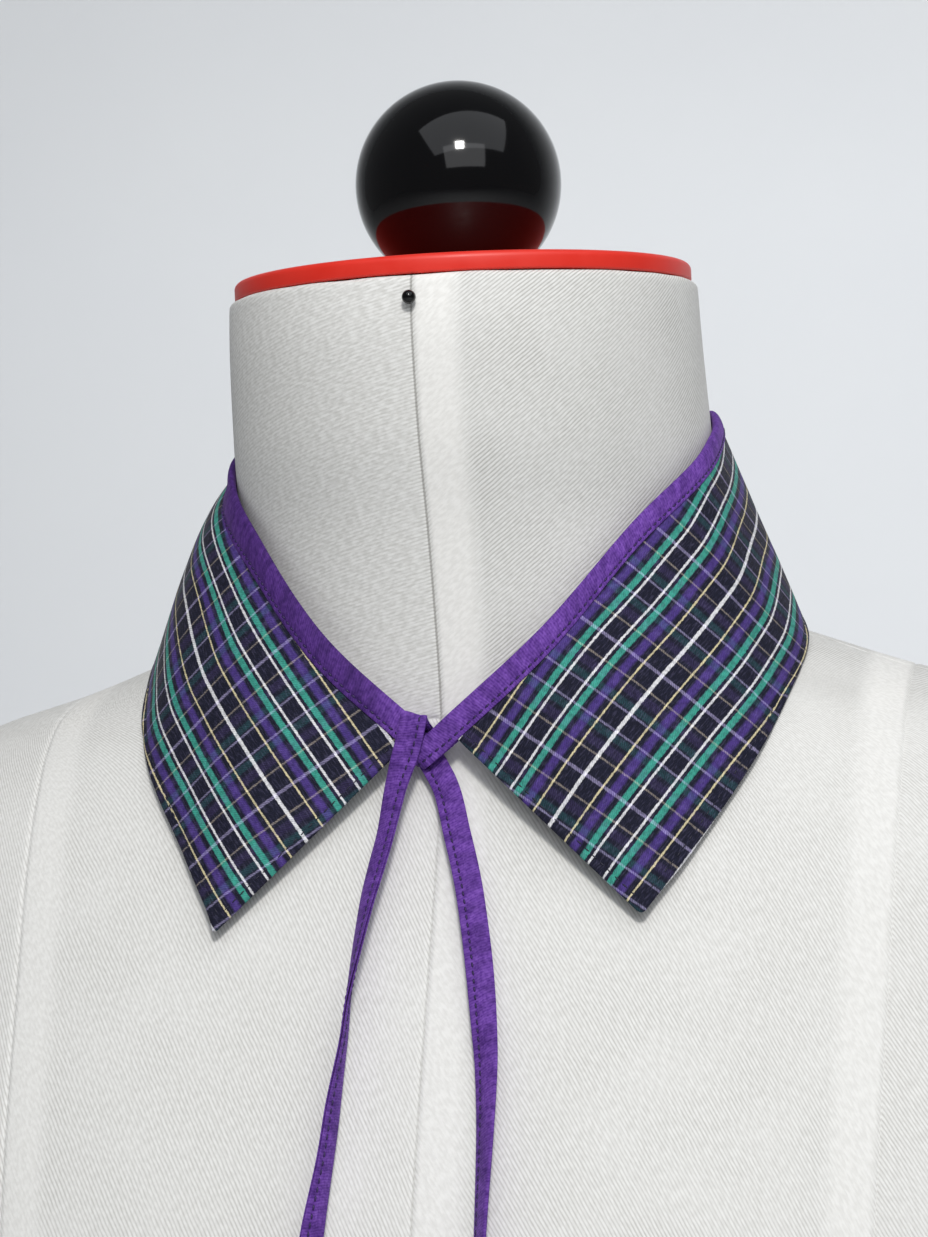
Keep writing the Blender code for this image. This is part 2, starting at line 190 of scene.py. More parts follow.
# --- finishing of the cloth ---
CHECK_THICKNESS = 0.0008
NECKLINE_FROM_STRIPE = -0.0158   # at the centre back, where the white stripe is 0
NECK_EDGE_STEPS = (0, 0.00006, 0.0002, 0.0004)
OUTER_EDGE_STEPS = (0, 0.00004, 0.00012, 0.00025, 0.0004, 0.0006, 0.0009, 0.0013, 0.0016, 0.0019,
                    0.0022, 0.0025, 0.0028, 0.0032, 0.0038, 0.005)
COLUMNS_BETWEEN = 36
RULINGS_PER_SECTION = 22
FRONT_STEPS = (0.0015, 0.045, 1.25)     # beside the fronts: finest and coarsest in sections, growth
EDGE_STITCH_IN = 0.0022          # the edge stitching lies this far in
EDGE_STITCH_PULL = 0.00028
TURNING_BULK = 0.00022           # the edges are four layers thick
COLLAR_WAVE = 0.00045            # slightly wavy, as cloth is after pressing
TIP_ROUNDING = 0.0022
LEFT_CORNER_DEPTH = 0.00690      # at the -X front the check's neck edge comes out of the binding
LEFT_CORNER_RISE = 0.18

# waves per metre, share of COLLAR_WAVE, place in the noise
COLLAR_WAVES = ((32, 1.0, 3.1), (110, 0.25, 8.2))

# What only the -X half does: how much, the section where it does so most, and how far it spreads
LEFT_LEAN = (0.0008, 3.7, 1.1)      # the collar lies closer to the neck
LEFT_SNUG = (0.0018, 3.3, 1.1)      # its neckline is drawn in a little more
LEFT_SWELL = (0.0032, 3.6, 1.4)     # it swells over the shoulder
LEFT_WIDER = (0.45, 2.8, 1.5)       # the binding is wider: a share of its width

# The cloth was eased on to the strip over the shoulders, which turned its threads at the fronts.
THREAD_TURN = radians(2.2)
THREAD_PIVOT = (0.1296, 0.1186)
BACK_EASE = 1.055
EASED_FROM, EASED_TO = 3.0, 4.0     # sections, counted from either front
EDGE_PITCH, EDGE_STITCH = 0.0024, 0.0015
TOP_PITCH, TOP_STITCH = 0.0019, 0.0013
THREAD_WIDTH = 0.00056           # coarser than real, so that it shows
THREAD_SLANT = 0.07              # a lockstitch lies slightly slantwise
THREAD_RAISED = 0.15             # share of its thickness
STATION_STEP = 0.0009

FORM_SIDES = 176
FORM_STEP, FORM_NECK_STEP = 0.0042, 0.0022      # up the form, and past the foot of its neck
FORM_ROUNDING = 0.0016
SEAM_DEPTH = 0.00035
SEAM_REACH = 0.02                # only faces this close to a seam's plane are cut
SEAM_STEPS = (-0.0012, -0.0007, -0.0003, 0, 0.0003, 0.0007, 0.0012)
TOP_EDGE_UNEVEN = 0.00022        # the turned-in edge at the top of the cover
PRINCESS_AT_FOOT = 0.0679
PRINCESS_LEAN = 0.075
PLATE_INSET = 0.0014

# a point on each seam's plane, the plane's direction, and whether the seam is only below the neck
SEAMS = {
    "neck": ((0, -0.0500, 0.4885), (0, -0.327, 0.945), False),
    "centre": ((0, 0, 0), (1, 0, 0), False),
    "princess_left": ((-PRINCESS_AT_FOOT, 0, 0), (1, 0, PRINCESS_LEAN), True),
    "princess_right": ((PRINCESS_AT_FOOT, 0, 0), (1, 0, -PRINCESS_LEAN), True),
    "side": ((0, 0.0080, 0), (0, 1, 0), True),
}

# The strip folded in half along its length, cut across: one leaf, from its open edge to the fold.
# depth from the fold, out from the middle, thickness of the leaf (mm)
STRIP_LEAF = (
    (6.40, 0.58, 0.00),
    (6.37, 0.58, 0.18),
    (6.27, 0.60, 0.32),
    (6.03, 0.63, 0.44),
    (5.71, 0.66, 0.48),
    (5.46, 0.62, 0.40),
    (5.25, 0.57, 0.30),     # pulled in by the stitching
    (5.04, 0.62, 0.42),
    (4.70, 0.70, 0.55),
    (3.93, 0.80, 0.60),
    (2.92, 0.83, 0.60),
    (1.92, 0.76, 0.60),
    (1.19, 0.61, 0.60),
    (0.69, 0.42, 0.60),
    (0.44, 0.22, 0.60),
    (0.37, 0.00, 0.60),     # the fold
)
STRIP_WIDTH = STRIP_LEAF[0][0] * MM
STITCHED_PLACE = 6          # the row of STRIP_LEAF that is pulled in
CLOSED_OUT = 0.45           # share of the leaves' spread that is left where no check lies between
CLOSED_THICKNESS = 0.80
LOOSE_INSET = 0.60          # past the neckline the stitching wanders this much further in (mm)
LOOSE_FROM_EDGE = 3.5       # and the wandering ends this far from the open edge (mm)
KNOT_BLEND = 0.006          # the binding goes over into the knot's strip along this length


# --- small sums ---
def colour(hex_value):
    """Six sRGB hex digits as the linear colour that the shaders mix."""
    parts = [int(hex_value[place:place + 2], 16) / 255 for place in (1, 3, 5)]
    linear = [part / 12.92 if part <= 0.04045 else ((part + 0.055) / 1.055)**2.4 for part in parts]
    return (*linear, 1.0)


def eased(value):
    """0 below 0, 1 above 1 and a smooth step between."""
    value = min(max(value, 0.0), 1.0)
    return value * value * (3 - 2 * value)


def on_curve(rows, place):
    """Rows of numbers read between two rows on a smooth curve through them all (Catmull-Rom)."""
    start = min(max(int(floor(place)), 0), len(rows) - 2)
    t = place - start
    b, c = rows[start], rows[start + 1]
    a = rows[start - 1] if start > 0 else [2 * p - q for p, q in zip(b, c)]
    d = rows[start + 2] if start + 2 < len(rows) else [2 * q - p for p, q in zip(b, c)]
    return [
        (2 * q + (r - p) * t + (2 * p - 5 * q + 4 * r - s) * t**2 + (3 * q - p - 3 * r + s) * t**3) / 2
        for p, q, r, s in zip(a, b, c, d)
    ]


def graded(length, fine, coarse, growth):
    """Places from 0 to a length, close together at both ends and wider apart between them."""
    near, step = [0.0], fine
    while near[-1] + step < length / 2:
        near.append(near[-1] + step)
        step = min(step * growth, coarse)
    return near + [length - place for place in reversed(near)]


def edge_round(distance, radius):
    """Share of a cloth's thickness that is there at a distance from its rounded edge."""
    if distance >= radius:
        return 1.0
    return sqrt(max(0.0, 1 - (1 - distance / radius)**2))


def dip(distance, width):
    """1 on a line and 0 away from it."""
    return exp(-(distance / width)**2)


def left_only(place, most, section, spread):
    """How much of what only the -X half does is done at a place along the collar."""
    return most * dip(place - section, spread)


def travelled(points):
    """The way gone along a line of points, at each of them."""
    ways = [0.0]
    for before, after in zip(points, points[1:]):
        ways.append(ways[-1] + (after - before).length)
    return ways


def off_line(point, start, end):
    """Distance of a flat point from the line through two others."""
    return abs((end - start).normalized().cross(point - start))


# --- the dress form's surface ---
def smooth_slopes(places, values):
    """Slopes that carry a smooth curve through the values without overshooting them."""
    steps = [(values[i + 1] - values[i]) / (places[i + 1] - places[i]) for i in range(len(values) - 1)]
    slopes = [steps[0]]
    for before, after in zip(steps, steps[1:]):
        slopes.append(0.0 if before * after <= 0 else 2 * before * after / (before + after))
    slopes.append(steps[-1])
    return slopes


FORM_HEIGHTS = [row[0] for row in FORM_ROWS]
FORM_COLUMNS = [[row[column] for row in FORM_ROWS] for column in range(1, 5)]
FORM_SLOPES = [smooth_slopes(FORM_HEIGHTS, column) for column in FORM_COLUMNS]


def form_section(height):
    """Half width, front y, back y and squareness of the form at a height."""
    height = min(max(height, 0.0), NECK_TOP)
    row = max(i for i in range(len(FORM_HEIGHTS) - 1) if FORM_HEIGHTS[i] <= height)
    span = FORM_HEIGHTS[row + 1] - FORM_HEIGHTS[row]
    t = (height - FORM_HEIGHTS[row]) / span
    start, leave = 2 * t**3 - 3 * t**2 + 1, t**3 - 2 * t**2 + t
    end, arrive = -2 * t**3 + 3 * t**2, t**3 - t**2
    return [
        column[row] * start + slopes[row] * span * leave
        + column[row + 1] * end + slopes[row + 1] * span * arrive
        for column, slopes in zip(FORM_COLUMNS, FORM_SLOPES)
    ]


def form_point(turn, height):
    """The form's surface at a height; turn 0 is the front, a quarter turn is +X."""
    half_width, front, back, squareness = form_section(height)
    across, along = sin(turn), -cos(turn)
    reach = (abs(across)**squareness + abs(along)**squareness)**(-1 / squareness)
    x = half_width * reach * across
    x /= (1 + abs(x / ARM_CUT)**ARM_CUT_SHARPNESS)**(1 / ARM_CUT_SHARPNESS)
    return Vector((x, (front + back) / 2 + (back - front) / 2 * reach * along, height))


def form_level(x, y, z):
    """Below 0 inside the form, 0 on its surface, above 0 outside."""
    half_width, front, back, squareness = form_section(z)
    across = abs(x) / half_width
    along = abs(y - (front + back) / 2) * 2 / (back - front)
    return (across**squareness + along**squareness)**(1 / squareness) - 1


def kept_clear(point, clearance):
    """The point, moved straight out from the form if it is nearer to it than the clearance."""
    point = Vector(point)
    step = 0.0002
    for _ in range(3):
        x, y, z = point
        slope = Vector((
            form_level(x + step, y, z) - form_level(x - step, y, z),
            form_level(x, y + step, z) - form_level(x, y - step, z),
            form_level(x, y, z + step) - form_level(x, y, z - step),
        )) / (2 * step)
        gap = form_level(x, y, z) / slope.length
        if gap >= clearance:
            break
        point += slope.normalized() * (clearance - gap)
    return point


def in_front(x, height, distance):
    """A point the given distance in front of the form's front surface."""
    half_width, front, back, squareness = form_section(height)
    depth = (back - front) / 2 * (1 - abs(x / half_width)**squareness)**(1 / squareness)
    return Vector((x, (front + back) / 2 - depth - distance, height))


# --- materials ---
MIX, MULTIPLY, ADD = ({"data_type": "RGBA", "blend_type": way} for way in ("MIX", "MULTIPLY", "ADD"))
SUM, DIFFERENCE, PRODUCT, SCALED_SUM, GREATER, ZIGZAG, SIZE = (
    {"operation": way}
    for way in ("ADD", "SUBTRACT", "MULTIPLY", "MULTIPLY_ADD", "MAXIMUM", "PINGPONG", "ABSOLUTE")
)
SMOOTH = {"interpolation_type": "SMOOTHSTEP"}


def start_material(name, **numbers):
    """A new material with its shader's own numbers; returns its two functions, add and finish."""
    material = bpy.data.materials.new(name)
    material.use_nodes = True
    tree = material.node_tree
    shader = tree.nodes["Principled BSDF"]
    for socket, value in numbers.items():
        shader.inputs[socket.replace("_", " ")].default_value = value

    def add(kind, *values, **named):
        """Adds a node and gives its first output. The values go to its sockets in their order;
        names with a capital are sockets too, and the other names are its settings."""
        node = tree.nodes.new("ShaderNode" + kind)
        for key, value in named.items():
            if key[0].islower():
                setattr(node, key, value)
        filled = list(zip([socket for socket in node.inputs if socket.enabled], values))
        filled += [(node.inputs[key], value) for key, value in named.items() if key[0].isupper()]
        for socket, value in filled:
            if isinstance(value, bpy.types.NodeSocket):
                tree.links.new(value, socket)
            else:
                socket.default_value = value
        return next(socket for socket in node.outputs if socket.enabled)

    def finish(skin, strength=0.0, relief=0.0, height=None, rough=None):
        """Links the colour, the relief (in mm) and the roughness, and gives the material."""
        looks = {"Base Color": skin, "Roughness": rough}
        if height is not None:
            looks["Normal"] = add("Bump", Strength=strength, Distance=relief * MM, Height=height)
        for socket, value in looks.items():
            if value is not None:
                tree.links.new(value, shader.inputs[socket])
        return material

    return add, finish


def ridges(add, across, pitch, low, high, wander=None, sway=0.0):
    """Even ridges a pitch in mm apart, 0 in the grooves and 1 on top, that sway a little."""
    turns = add("Math", across, 1 / (pitch * MM), **PRODUCT)
    if wander is not None:
        turns = add("Math", wander, sway, turns, **SCALED_SUM)
    return add("MapRange", add("Math", turns, 0.5, **ZIGZAG), low, high, 0.0, 1.0, **SMOOTH)


def streaks(add, cut, along, across):
    """Uneven dye and thickness from thread to thread: noise drawn out along one set of threads."""
    return add("TexNoise", add("VectorMath", cut, (along, across, 1.0), **PRODUCT), 1.0, 2.0)


def twill_cover():
    """Undyed cotton twill, woven 2/1 and stretched over the form: fine slanting ridges 0.82 mm apart,
    matt and softly haired. Seam allowances underneath smooth it out and brighten it a little."""
    add, finish = start_material("twill_cover", Roughness=0.90, IOR=1.5, Specular_IOR_Level=0.20,
                                 Sheen_Weight=0.10, Sheen_Roughness=0.5)
    place = add("TexCoord").node.outputs["Object"]
    x, y, z = add("SeparateXYZ", place).node.outputs
    cut = add("UVMap", uv_map="twill")
    wander = add("TexNoise", cut, 160.0, 1.0)
    slub = streaks(add, cut, 1300.0, 520.0)
    ridge = ridges(add, add("SeparateXYZ", cut), 0.82, 0.06, 0.34, wander, 0.45)

    # seam allowances: beside the centre front seam on +X, and towards the centre from each princess seam
    side = add("Math", x, **SIZE)
    princess = add("Math", z, PRINCESS_LEAN, PRINCESS_AT_FOOT, **SCALED_SUM)
    bands = []
    for distance in (x, add("Math", princess, side, **DIFFERENCE)):
        rise = add("MapRange", distance, 0.0, 1.5 * MM, 0.0, 1.0)
        fall = add("MapRange", distance, 7 * MM, 13 * MM, 1.0, 0.0, **SMOOTH)
        bands.append(add("Math", rise, fall, **PRODUCT))
    allowance = add("Math", *bands, **GREATER)

    # the twill is worn faint in patches, most of all on the -X side of the neck
    worn = add("MapRange", add("TexNoise", place, 55.0, 2.0), 0.35, 0.70, 0.0, 0.4)
    rubbed = add("MapRange", x, -2 * MM, 1 * MM, 1.0, 0.0)
    on_neck = add("MapRange", z, NECK_FOOT, NECK_FOOT + 0.005, 0.0, 1.0)
    fuzzy = add("Math", rubbed, on_neck, **PRODUCT)
    worn = add("Math", worn, add("Math", fuzzy, 0.72, **PRODUCT), **GREATER)
    shown = add("Math", allowance, -0.8, 1.0, **SCALED_SUM)
    shown = add("Math", shown, add("Math", on_neck, 0.35, 0.65, **SCALED_SUM), **PRODUCT)
    shown = add("Math", shown, add("Math", 1.0, worn, **DIFFERENCE), **PRODUCT)
    ridge = add("Math", add("Math", ridge, 1.0, **DIFFERENCE), shown, **PRODUCT)
    ridge = add("Math", ridge, 1.0, **SUM)

    cloth = add("Mix", ridge, colour("#bfbeba"), colour("#eaeae8"), **MIX)
    brightened = add("Math", allowance, add("Math", on_neck, 0.50, 0.22, **SCALED_SUM), **PRODUCT)
    cloth = add("Mix", brightened, cloth, colour("#f5f4f1"), **MIX)
    mottle = add("Math", add("TexNoise", place, 38.0, 3.0), 0.10, **PRODUCT)
    cloth = add("Mix", mottle, cloth, colour("#cfccc5"), **MULTIPLY)
    speckle = add("MapRange", slub, 0.38, 0.62, 0.0, 1.0)
    speckle = add("Math", speckle, add("Math", fuzzy, 0.14, 0.18, **SCALED_SUM), **PRODUCT)
    cloth = add("Mix", speckle, cloth, colour("#bbb9b4"), **MULTIPLY)

    # the centre front seam is an open slit on the neck, and faint below it and behind
    slit = add("MapRange", side, 0.12 * MM, 0.38 * MM, 1.0, 0.0, **SMOOTH)
    slit = add("Math", slit, add("MapRange", z, NECK_FOOT, NECK_FOOT + 0.007, 0.20, 0.50), **PRODUCT)
    slit = add("Math", slit, add("MapRange", y, -0.02, 0.0, 1.0, 0.4), **PRODUCT)
    cloth = add("Mix", slit, cloth, colour("#5f5b55"), **MIX)
    return finish(cloth, 0.35, 0.10, add("Math", slub, 0.8, ridge, **SCALED_SUM))


# The check's stripes, from one line of symmetry of the sett to the next, lengthwise (warp) and
# crosswise (weft). The crosswise stripes lighten what they cross by their colours.
# place in half a repeat (0 to 1), width in mm, softness of its sides in mm, colour
WARP_GROUND, WEFT_GROUND = "#181a30", "#000000"
WARP_REPEAT, WEFT_REPEAT = 29.5, 29.13      # mm
WARP_STRIPES = (
    (0.000, 0.86, 0.12, "#ffffff"),
    (0.340, 0.42, 0.14, "#f4e7b6"),
    (0.510, 1.90, 0.60, "#523c8c"),
    (0.720, 1.60, 0.30, "#43ad99"),
    (0.775, 0.10, 0.10, WARP_GROUND),
    (0.840, 0.54, 0.12, "#ffffff"),
)
WEFT_STRIPES = (
    (0.000, 0.80, 0.22, "#aaa1c6"),
    (0.350, 0.45, 0.16, "#a69a88"),
    (0.510, 2.10, 0.60, "#35284e"),
    (0.720, 1.75, 0.50, "#1c4c4a"),
    (0.825, 0.52, 0.20, "#a29bbe"),
)
WEFT_STRIPE_FROM_RIGHT = 8.7     # mm to the widest crosswise stripe from the +X neckline corner


def sett(add, across, repeat, stripes, ground):
    """The colours of one set of threads: a symmetric sett read from its centre out to half a repeat."""
    half = repeat / 2
    stops = []
    for place, width, softness, tint in stripes:
        near, far, soft = place - width / repeat, place + width / repeat, softness / half / 2
        if near - soft > 0:
            stops += [(near - soft, colour(ground)), (near + soft, colour(tint))]
        else:
            stops.append((0.0, colour(tint)))
        stops += [(far - soft, colour(tint)), (far + soft, colour(ground))]
    stops.sort(key=lambda stop: stop[0])
    folded = add("Math", add("Math", across, 1 / (half * MM), **PRODUCT), 1.0, **ZIGZAG)
    ramp = add("ValToRGB", folded)
    elements = ramp.node.color_ramp.elements
    elements.remove(elements[-1])
    elements[0].position, elements[0].color = stops[0]
    for place, tint in stops[1:]:
        elements.new(place).color = tint
    return ramp


def navy_check():
    """Yarn-dyed cotton shirting, a fine 2/2 twill in a tartan sett: stripes of dyed thread that mix
    where they cross, a matt face. Its threads are 0.25 mm apart; the twill is drawn 0.6 mm apart so
    that it shows."""
    add, finish = start_material("navy_check", Roughness=0.84, IOR=1.5, Specular_IOR_Level=0.25,
                                 Sheen_Weight=0.08, Sheen_Roughness=0.4)
    cut = add("UVMap", uv_map="cut")

    # the stripes' sides are frayed by up to 0.17 mm
    fray = add("TexNoise", cut, 1300.0, 2.0, noise_dimensions="2D").node.outputs["Color"]
    shift = add("VectorMath", fray, (0.5, 0.5, 0.5), **DIFFERENCE)
    shift = add("VectorMath", shift, 0.34 * MM, operation="SCALE")
    along, across, _ = add("SeparateXYZ", add("VectorMath", cut, shift, **SUM)).node.outputs
    warp = sett(add, across, WARP_REPEAT, WARP_STRIPES, WARP_GROUND)
    weft = sett(add, along, WEFT_REPEAT, WEFT_STRIPES, WEFT_GROUND)

    # threads differ from each other, lengthwise and crosswise
    warp_streaks = streaks(add, cut, 500.0, 2600.0)
    weft_streaks = streaks(add, cut, 2600.0, 500.0)
    warp = add("Mix", add("Math", warp_streaks, 0.50, **PRODUCT), warp, colour("#a0a0ac"), **MULTIPLY)
    weft = add("Mix", add("Math", weft_streaks, 0.9, **PRODUCT), weft, colour("#6a6a70"), **MULTIPLY)

    # fine slanting lines where the weft comes up between the warp
    slant = ridges(add, add("Math", along, across, **SUM), 0.6, 0.05, 0.45)
    mixed = add("Mix", add("Math", slant, 0.40, 0.60, **SCALED_SUM), warp, weft, **ADD)
    mixed = add("Mix", add("Math", slant, -0.28, 0.28, **SCALED_SUM), mixed, colour("#4a4a58"), **MULTIPLY)
    lint = add("TexNoise", cut, 900.0, 3.0)
    mixed = add("Mix", add("MapRange", lint, 0.42, 0.62, 0.0, 0.42), mixed, colour("#8c8c98"), **MULTIPLY)
    faded = add("MapRange", warp_streaks, 0.50, 0.72, 0.0, 0.30)
    mixed = add("Mix", faded, mixed, colour("#5c5874"), **ADD)
    return finish(mixed, 0.55, 0.06, add("Math", lint, 0.5, slant, **SCALED_SUM))


def purple_cotton():
    """Dyed cotton poplin cut on the bias and pressed: nearly matt, with fine ribs across the strip and
    a hairy, uneven face. The ribs are real threads 0.25 mm apart, drawn 0.65 mm apart so that they show."""
    add, finish = start_material("purple_cotton", Roughness=0.80, IOR=1.5, Specular_IOR_Level=0.25,
                                 Sheen_Weight=0.18, Sheen_Roughness=0.35, Sheen_Tint=colour("#b890e0"))
    cut = add("UVMap", uv_map="cut")
    along, across, _ = add("SeparateXYZ", cut).node.outputs
    slanting = add("Math", across, 0.25, along, **SCALED_SUM)
    rib = ridges(add, slanting, 0.65, 0.05, 0.40, add("TexNoise", cut, 500.0, 2.0), 1.2)
    nap = add("MapRange", add("TexNoise", cut, 1100.0, 3.0), 0.36, 0.64, 0.0, 1.0)
    ribbed = add("Mix", rib, colour("#5a308e"), colour("#7549ab"), **MIX)
    hairs = add("Mix", nap, colour("#4e2681"), colour("#8257b6"), **MIX)
    dyed = add("Mix", 0.55, ribbed, hairs, **MIX)
    uneven = add("MapRange", streaks(add, cut, 420.0, 160.0), 0.38, 0.66, 0.0, 0.7)
    dyed = add("Mix", uneven, dyed, colour("#a594b4"), **MULTIPLY)

    # painted shade: the binding's -X half, on the side away from the lamps, is drawn darker than the rest
    # of the strip
    x, _, z = add("SeparateXYZ", add("TexCoord").node.outputs["Object"]).node.outputs
    shaded_left_half = add("MapRange", x, -10 * MM, -17 * MM, 0.0, 0.95)
    on_collar = add("MapRange", z, NECK_FOOT, NECK_FOOT + 0.004, 0.0, 1.0)
    dyed = add("Mix", add("Math", shaded_left_half, on_collar, **PRODUCT), dyed, colour("#b5a8bd"), **MULTIPLY)
    return finish(dyed, 0.6, 0.08, add("Math", nap, 0.7, rib, **SCALED_SUM))


def sewing_thread(name, tint, dark_tint):
    """Spun polyester sewing thread: slightly shiny, with painted shade in the grooves between its twisted
    plies.
    """
    add, finish = start_material(name, Roughness=0.55, IOR=1.5)
    plies = add("TexNoise", add("TexCoord").node.outputs["Object"], 3500.0, 1.0)
    return finish(add("Mix", plies, colour(dark_tint), colour(tint), **MIX), 0.4, 0.03, plies)


def red_plate():
    """Moulded red plastic with a satin skin: soft broad highlights, faint scuffs round the rim."""
    add, finish = start_material("red_plate", Roughness=0.42, IOR=1.5)
    place = add("TexCoord").node.outputs["Object"]
    rubbed = add("TexNoise", place, 140.0, 4.0)
    red = add("Mix", rubbed, colour("#dc2413"), colour("#e8382a"), **MIX)
    rough = add("Math", rubbed, 0.25, 0.32, **SCALED_SUM)
    return finish(red, 0.25, 0.03, add("TexNoise", place, 1800.0, 2.0), rough)


def black_gloss():
    """Turned wood under black lacquer, polished: deep black with sharp reflections, faintly uneven."""
    add, finish = start_material("black_gloss", Roughness=0.06, IOR=1.5, Specular_IOR_Level=0.40)
    haze = add("TexNoise", add("TexCoord").node.outputs["Object"], 90.0, 4.0)
    lacquer = add("Mix", haze, colour("#020203"), colour("#070709"), **MIX)
    return finish(lacquer, 0.05, 0.2, haze, add("Math", haze, 0.10, 0.03, **SCALED_SUM))


def studio_paper():
    """Pale seamless paper, matt, with a hardly visible tooth."""
    add, finish = start_material("studio_paper", Roughness=0.95)
    tooth = add("TexNoise", add("TexCoord").node.outputs["Object"], 6.0, 3.0)
    return finish(add("Mix", tooth, colour("#dcdee0"), colour("#e0e2e3"), **MIX))


# --- meshes of cloth ---
def finish_piece(name, shape, material, sharp=0.9):
    """A finished mesh in place, smooth but for its sharp edges."""
    mesh = bpy.data.meshes.new(name)
    shape.to_mesh(mesh)
    shape.free()
    mesh.materials.append(material)
    mesh.shade_smooth()
    mesh.set_sharp_from_angle(angle=sharp)
    piece = bpy.data.objects.new(name, mesh)
    bpy.context.collection.objects.link(piece)
    return piece


def laid_grid(shape, rows):
    """Adds a grid of faces through rows of points; returns its corners, each with row and column."""
    columns = len(rows[0])
    made = bmesh.ops.create_grid(shape, x_segments=columns - 1, y_segments=len(rows) - 1, size=1)["verts"]
    corners = [(vert, *divmod(k, columns)) for k, vert in enumerate(made)]
    for vert, r, c in corners:
        vert.co = rows[r][c]
    return corners


def grid_normals(middles):
    """Directions straight out of a surface given as rows of points."""
    last_row, last_column = len(middles) - 1, len(middles[0]) - 1
    outs = []
    for r, row in enumerate(middles):
        before, after = middles[max(r - 1, 0)], middles[min(r + 1, last_row)]
        outs.append([
            (after[c] - before[c]).cross(row[min(c + 1, last_column)] - row[max(c - 1, 0)]).normalized()
            for c in range(last_column + 1)
        ])
    return outs


def cloth_mesh(name, middles, thicknesses, cuts, material):
    """A closed cloth about the rows of points through the middle of its thickness.

    Its two faces meet where the thickness is 0. cuts gives each point's place in the flat cloth.
    Returns the piece, and the outer face's points and outward directions.
    """
    outs = grid_normals(middles)
    shape = bmesh.new()
    flat = shape.verts.layers.float_vector.new("flat")
    skins = [
        [[m + o * (side * t / 2) for m, o, t in zip(*row)] for row in zip(middles, outs, thicknesses)]
        for side in (1, -1)
    ]
    for skin in skins:
        for vert, r, c in laid_grid(shape, skin):
            vert[flat] = (*cuts[r][c], 0)
    bmesh.ops.remove_doubles(shape, verts=shape.verts, dist=2e-6)
    bmesh.ops.recalc_face_normals(shape, faces=shape.faces)
    layer = shape.loops.layers.uv.new("cut")
    for face in shape.faces:
        for loop in face.loops:
            loop[layer].uv = loop.vert[flat].xy
    return finish_piece(name, shape, material), skins[0], outs


def stitch_runs(line, outs, pitch, length):
    """Start, end and outward direction of each stitch in a run along a line of points."""
    ways = travelled(line)
    found, k = [], 0

    def point_at(distance):
        nonlocal k
        while k < len(line) - 2 and ways[k + 1] < distance:
            k += 1
        t = (distance - ways[k]) / (ways[k + 1] - ways[k])
        return line[k].lerp(line[k + 1], t), outs[k].lerp(outs[k + 1], t)

    for number in range(int((ways[-1] - length) / pitch)):
        start, out = point_at((number + 0.35) * pitch)
        end, _ = point_at((number + 0.35) * pitch + length)
        found.append((start, end, out))
    return found


def sewn_line(name, runs, thickness, material):
    """Topstitching: one small rounded dash of thread for each stitch, laid in its groove."""
    shape = bmesh.new()
    for start, end, out in runs:
        along = end - start
        sideways = out.cross(along).normalized()
        up = along.cross(sideways).normalized()
        along = along + sideways * (THREAD_SLANT * along.length)
        centre = (start + end) / 2 + up * (thickness * THREAD_RAISED)
        matrix = Matrix((sideways * thickness / 2, up * thickness / 2, along / 2)).transposed().to_4x4()
        matrix.translation = centre
        bmesh.ops.create_uvsphere(shape, u_segments=6, v_segments=4, radius=1, matrix=matrix)
    return finish_piece(name, shape, material, sharp=3.0)


# --- the collar ---
def collar_rows():
    """The sections' rows all round: left front, centre back, right front."""
    lower_half = LOWER_FRONT_ROWS + COLLAR_ROWS[len(LOWER_FRONT_ROWS):-1]
    rows = [(-nx, ny, nz, -ox, oy, oz) for nx, ny, nz, ox, oy, oz in lower_half]
    return rows + list(reversed(COLLAR_ROWS))


def collar_places():
    """Where the collar's rulings are taken: closest together beside the fronts."""
    spans = len(collar_rows()) - 1
    front = [place for place in graded(2.0, *FRONT_STEPS) if place <= 1.0]
    count = (spans - 2) * RULINGS_PER_SECTION
    middle = [1.0 + (spans - 2) * (k + 1) / count for k in range(count - 1)]
    if front[-1] < 0.999:
        front.append(1.0)
    return front + middle + [spans - place for place in reversed(front)]


def ruling_at(place):
    """The ends of the straight line down the collar at a place: on the neckline and the outer edge."""
    row = on_curve(collar_rows(), place)
    shift = Vector((COLLAR_OFF_CENTRE + left_only(place, *LEFT_LEAN), 0, 0))
    return Vector(row[:3]) + shift, Vector(row[3:]) + shift


def drawn_in(place, ruling):
    """A ruling with its neckline drawn in to the neck over the -X shoulder."""
    return ruling[0] + Vector((left_only(place, *LEFT_SNUG), 0, 0)), ruling[1]


def cloth_point(ruling, distance):
    """The middle of the collar's thickness, at a distance down a ruling from the neckline."""
    neckline, outer = ruling
    point = neckline + (outer - neckline).normalized() * distance
    near_neckline = max(0.0, 1 - distance / (2 * BINDING_WIDTH))
    return kept_clear(point, COLLAR_CLEARANCE + (BINDING_CLEARANCE - COLLAR_CLEARANCE) * near_neckline)


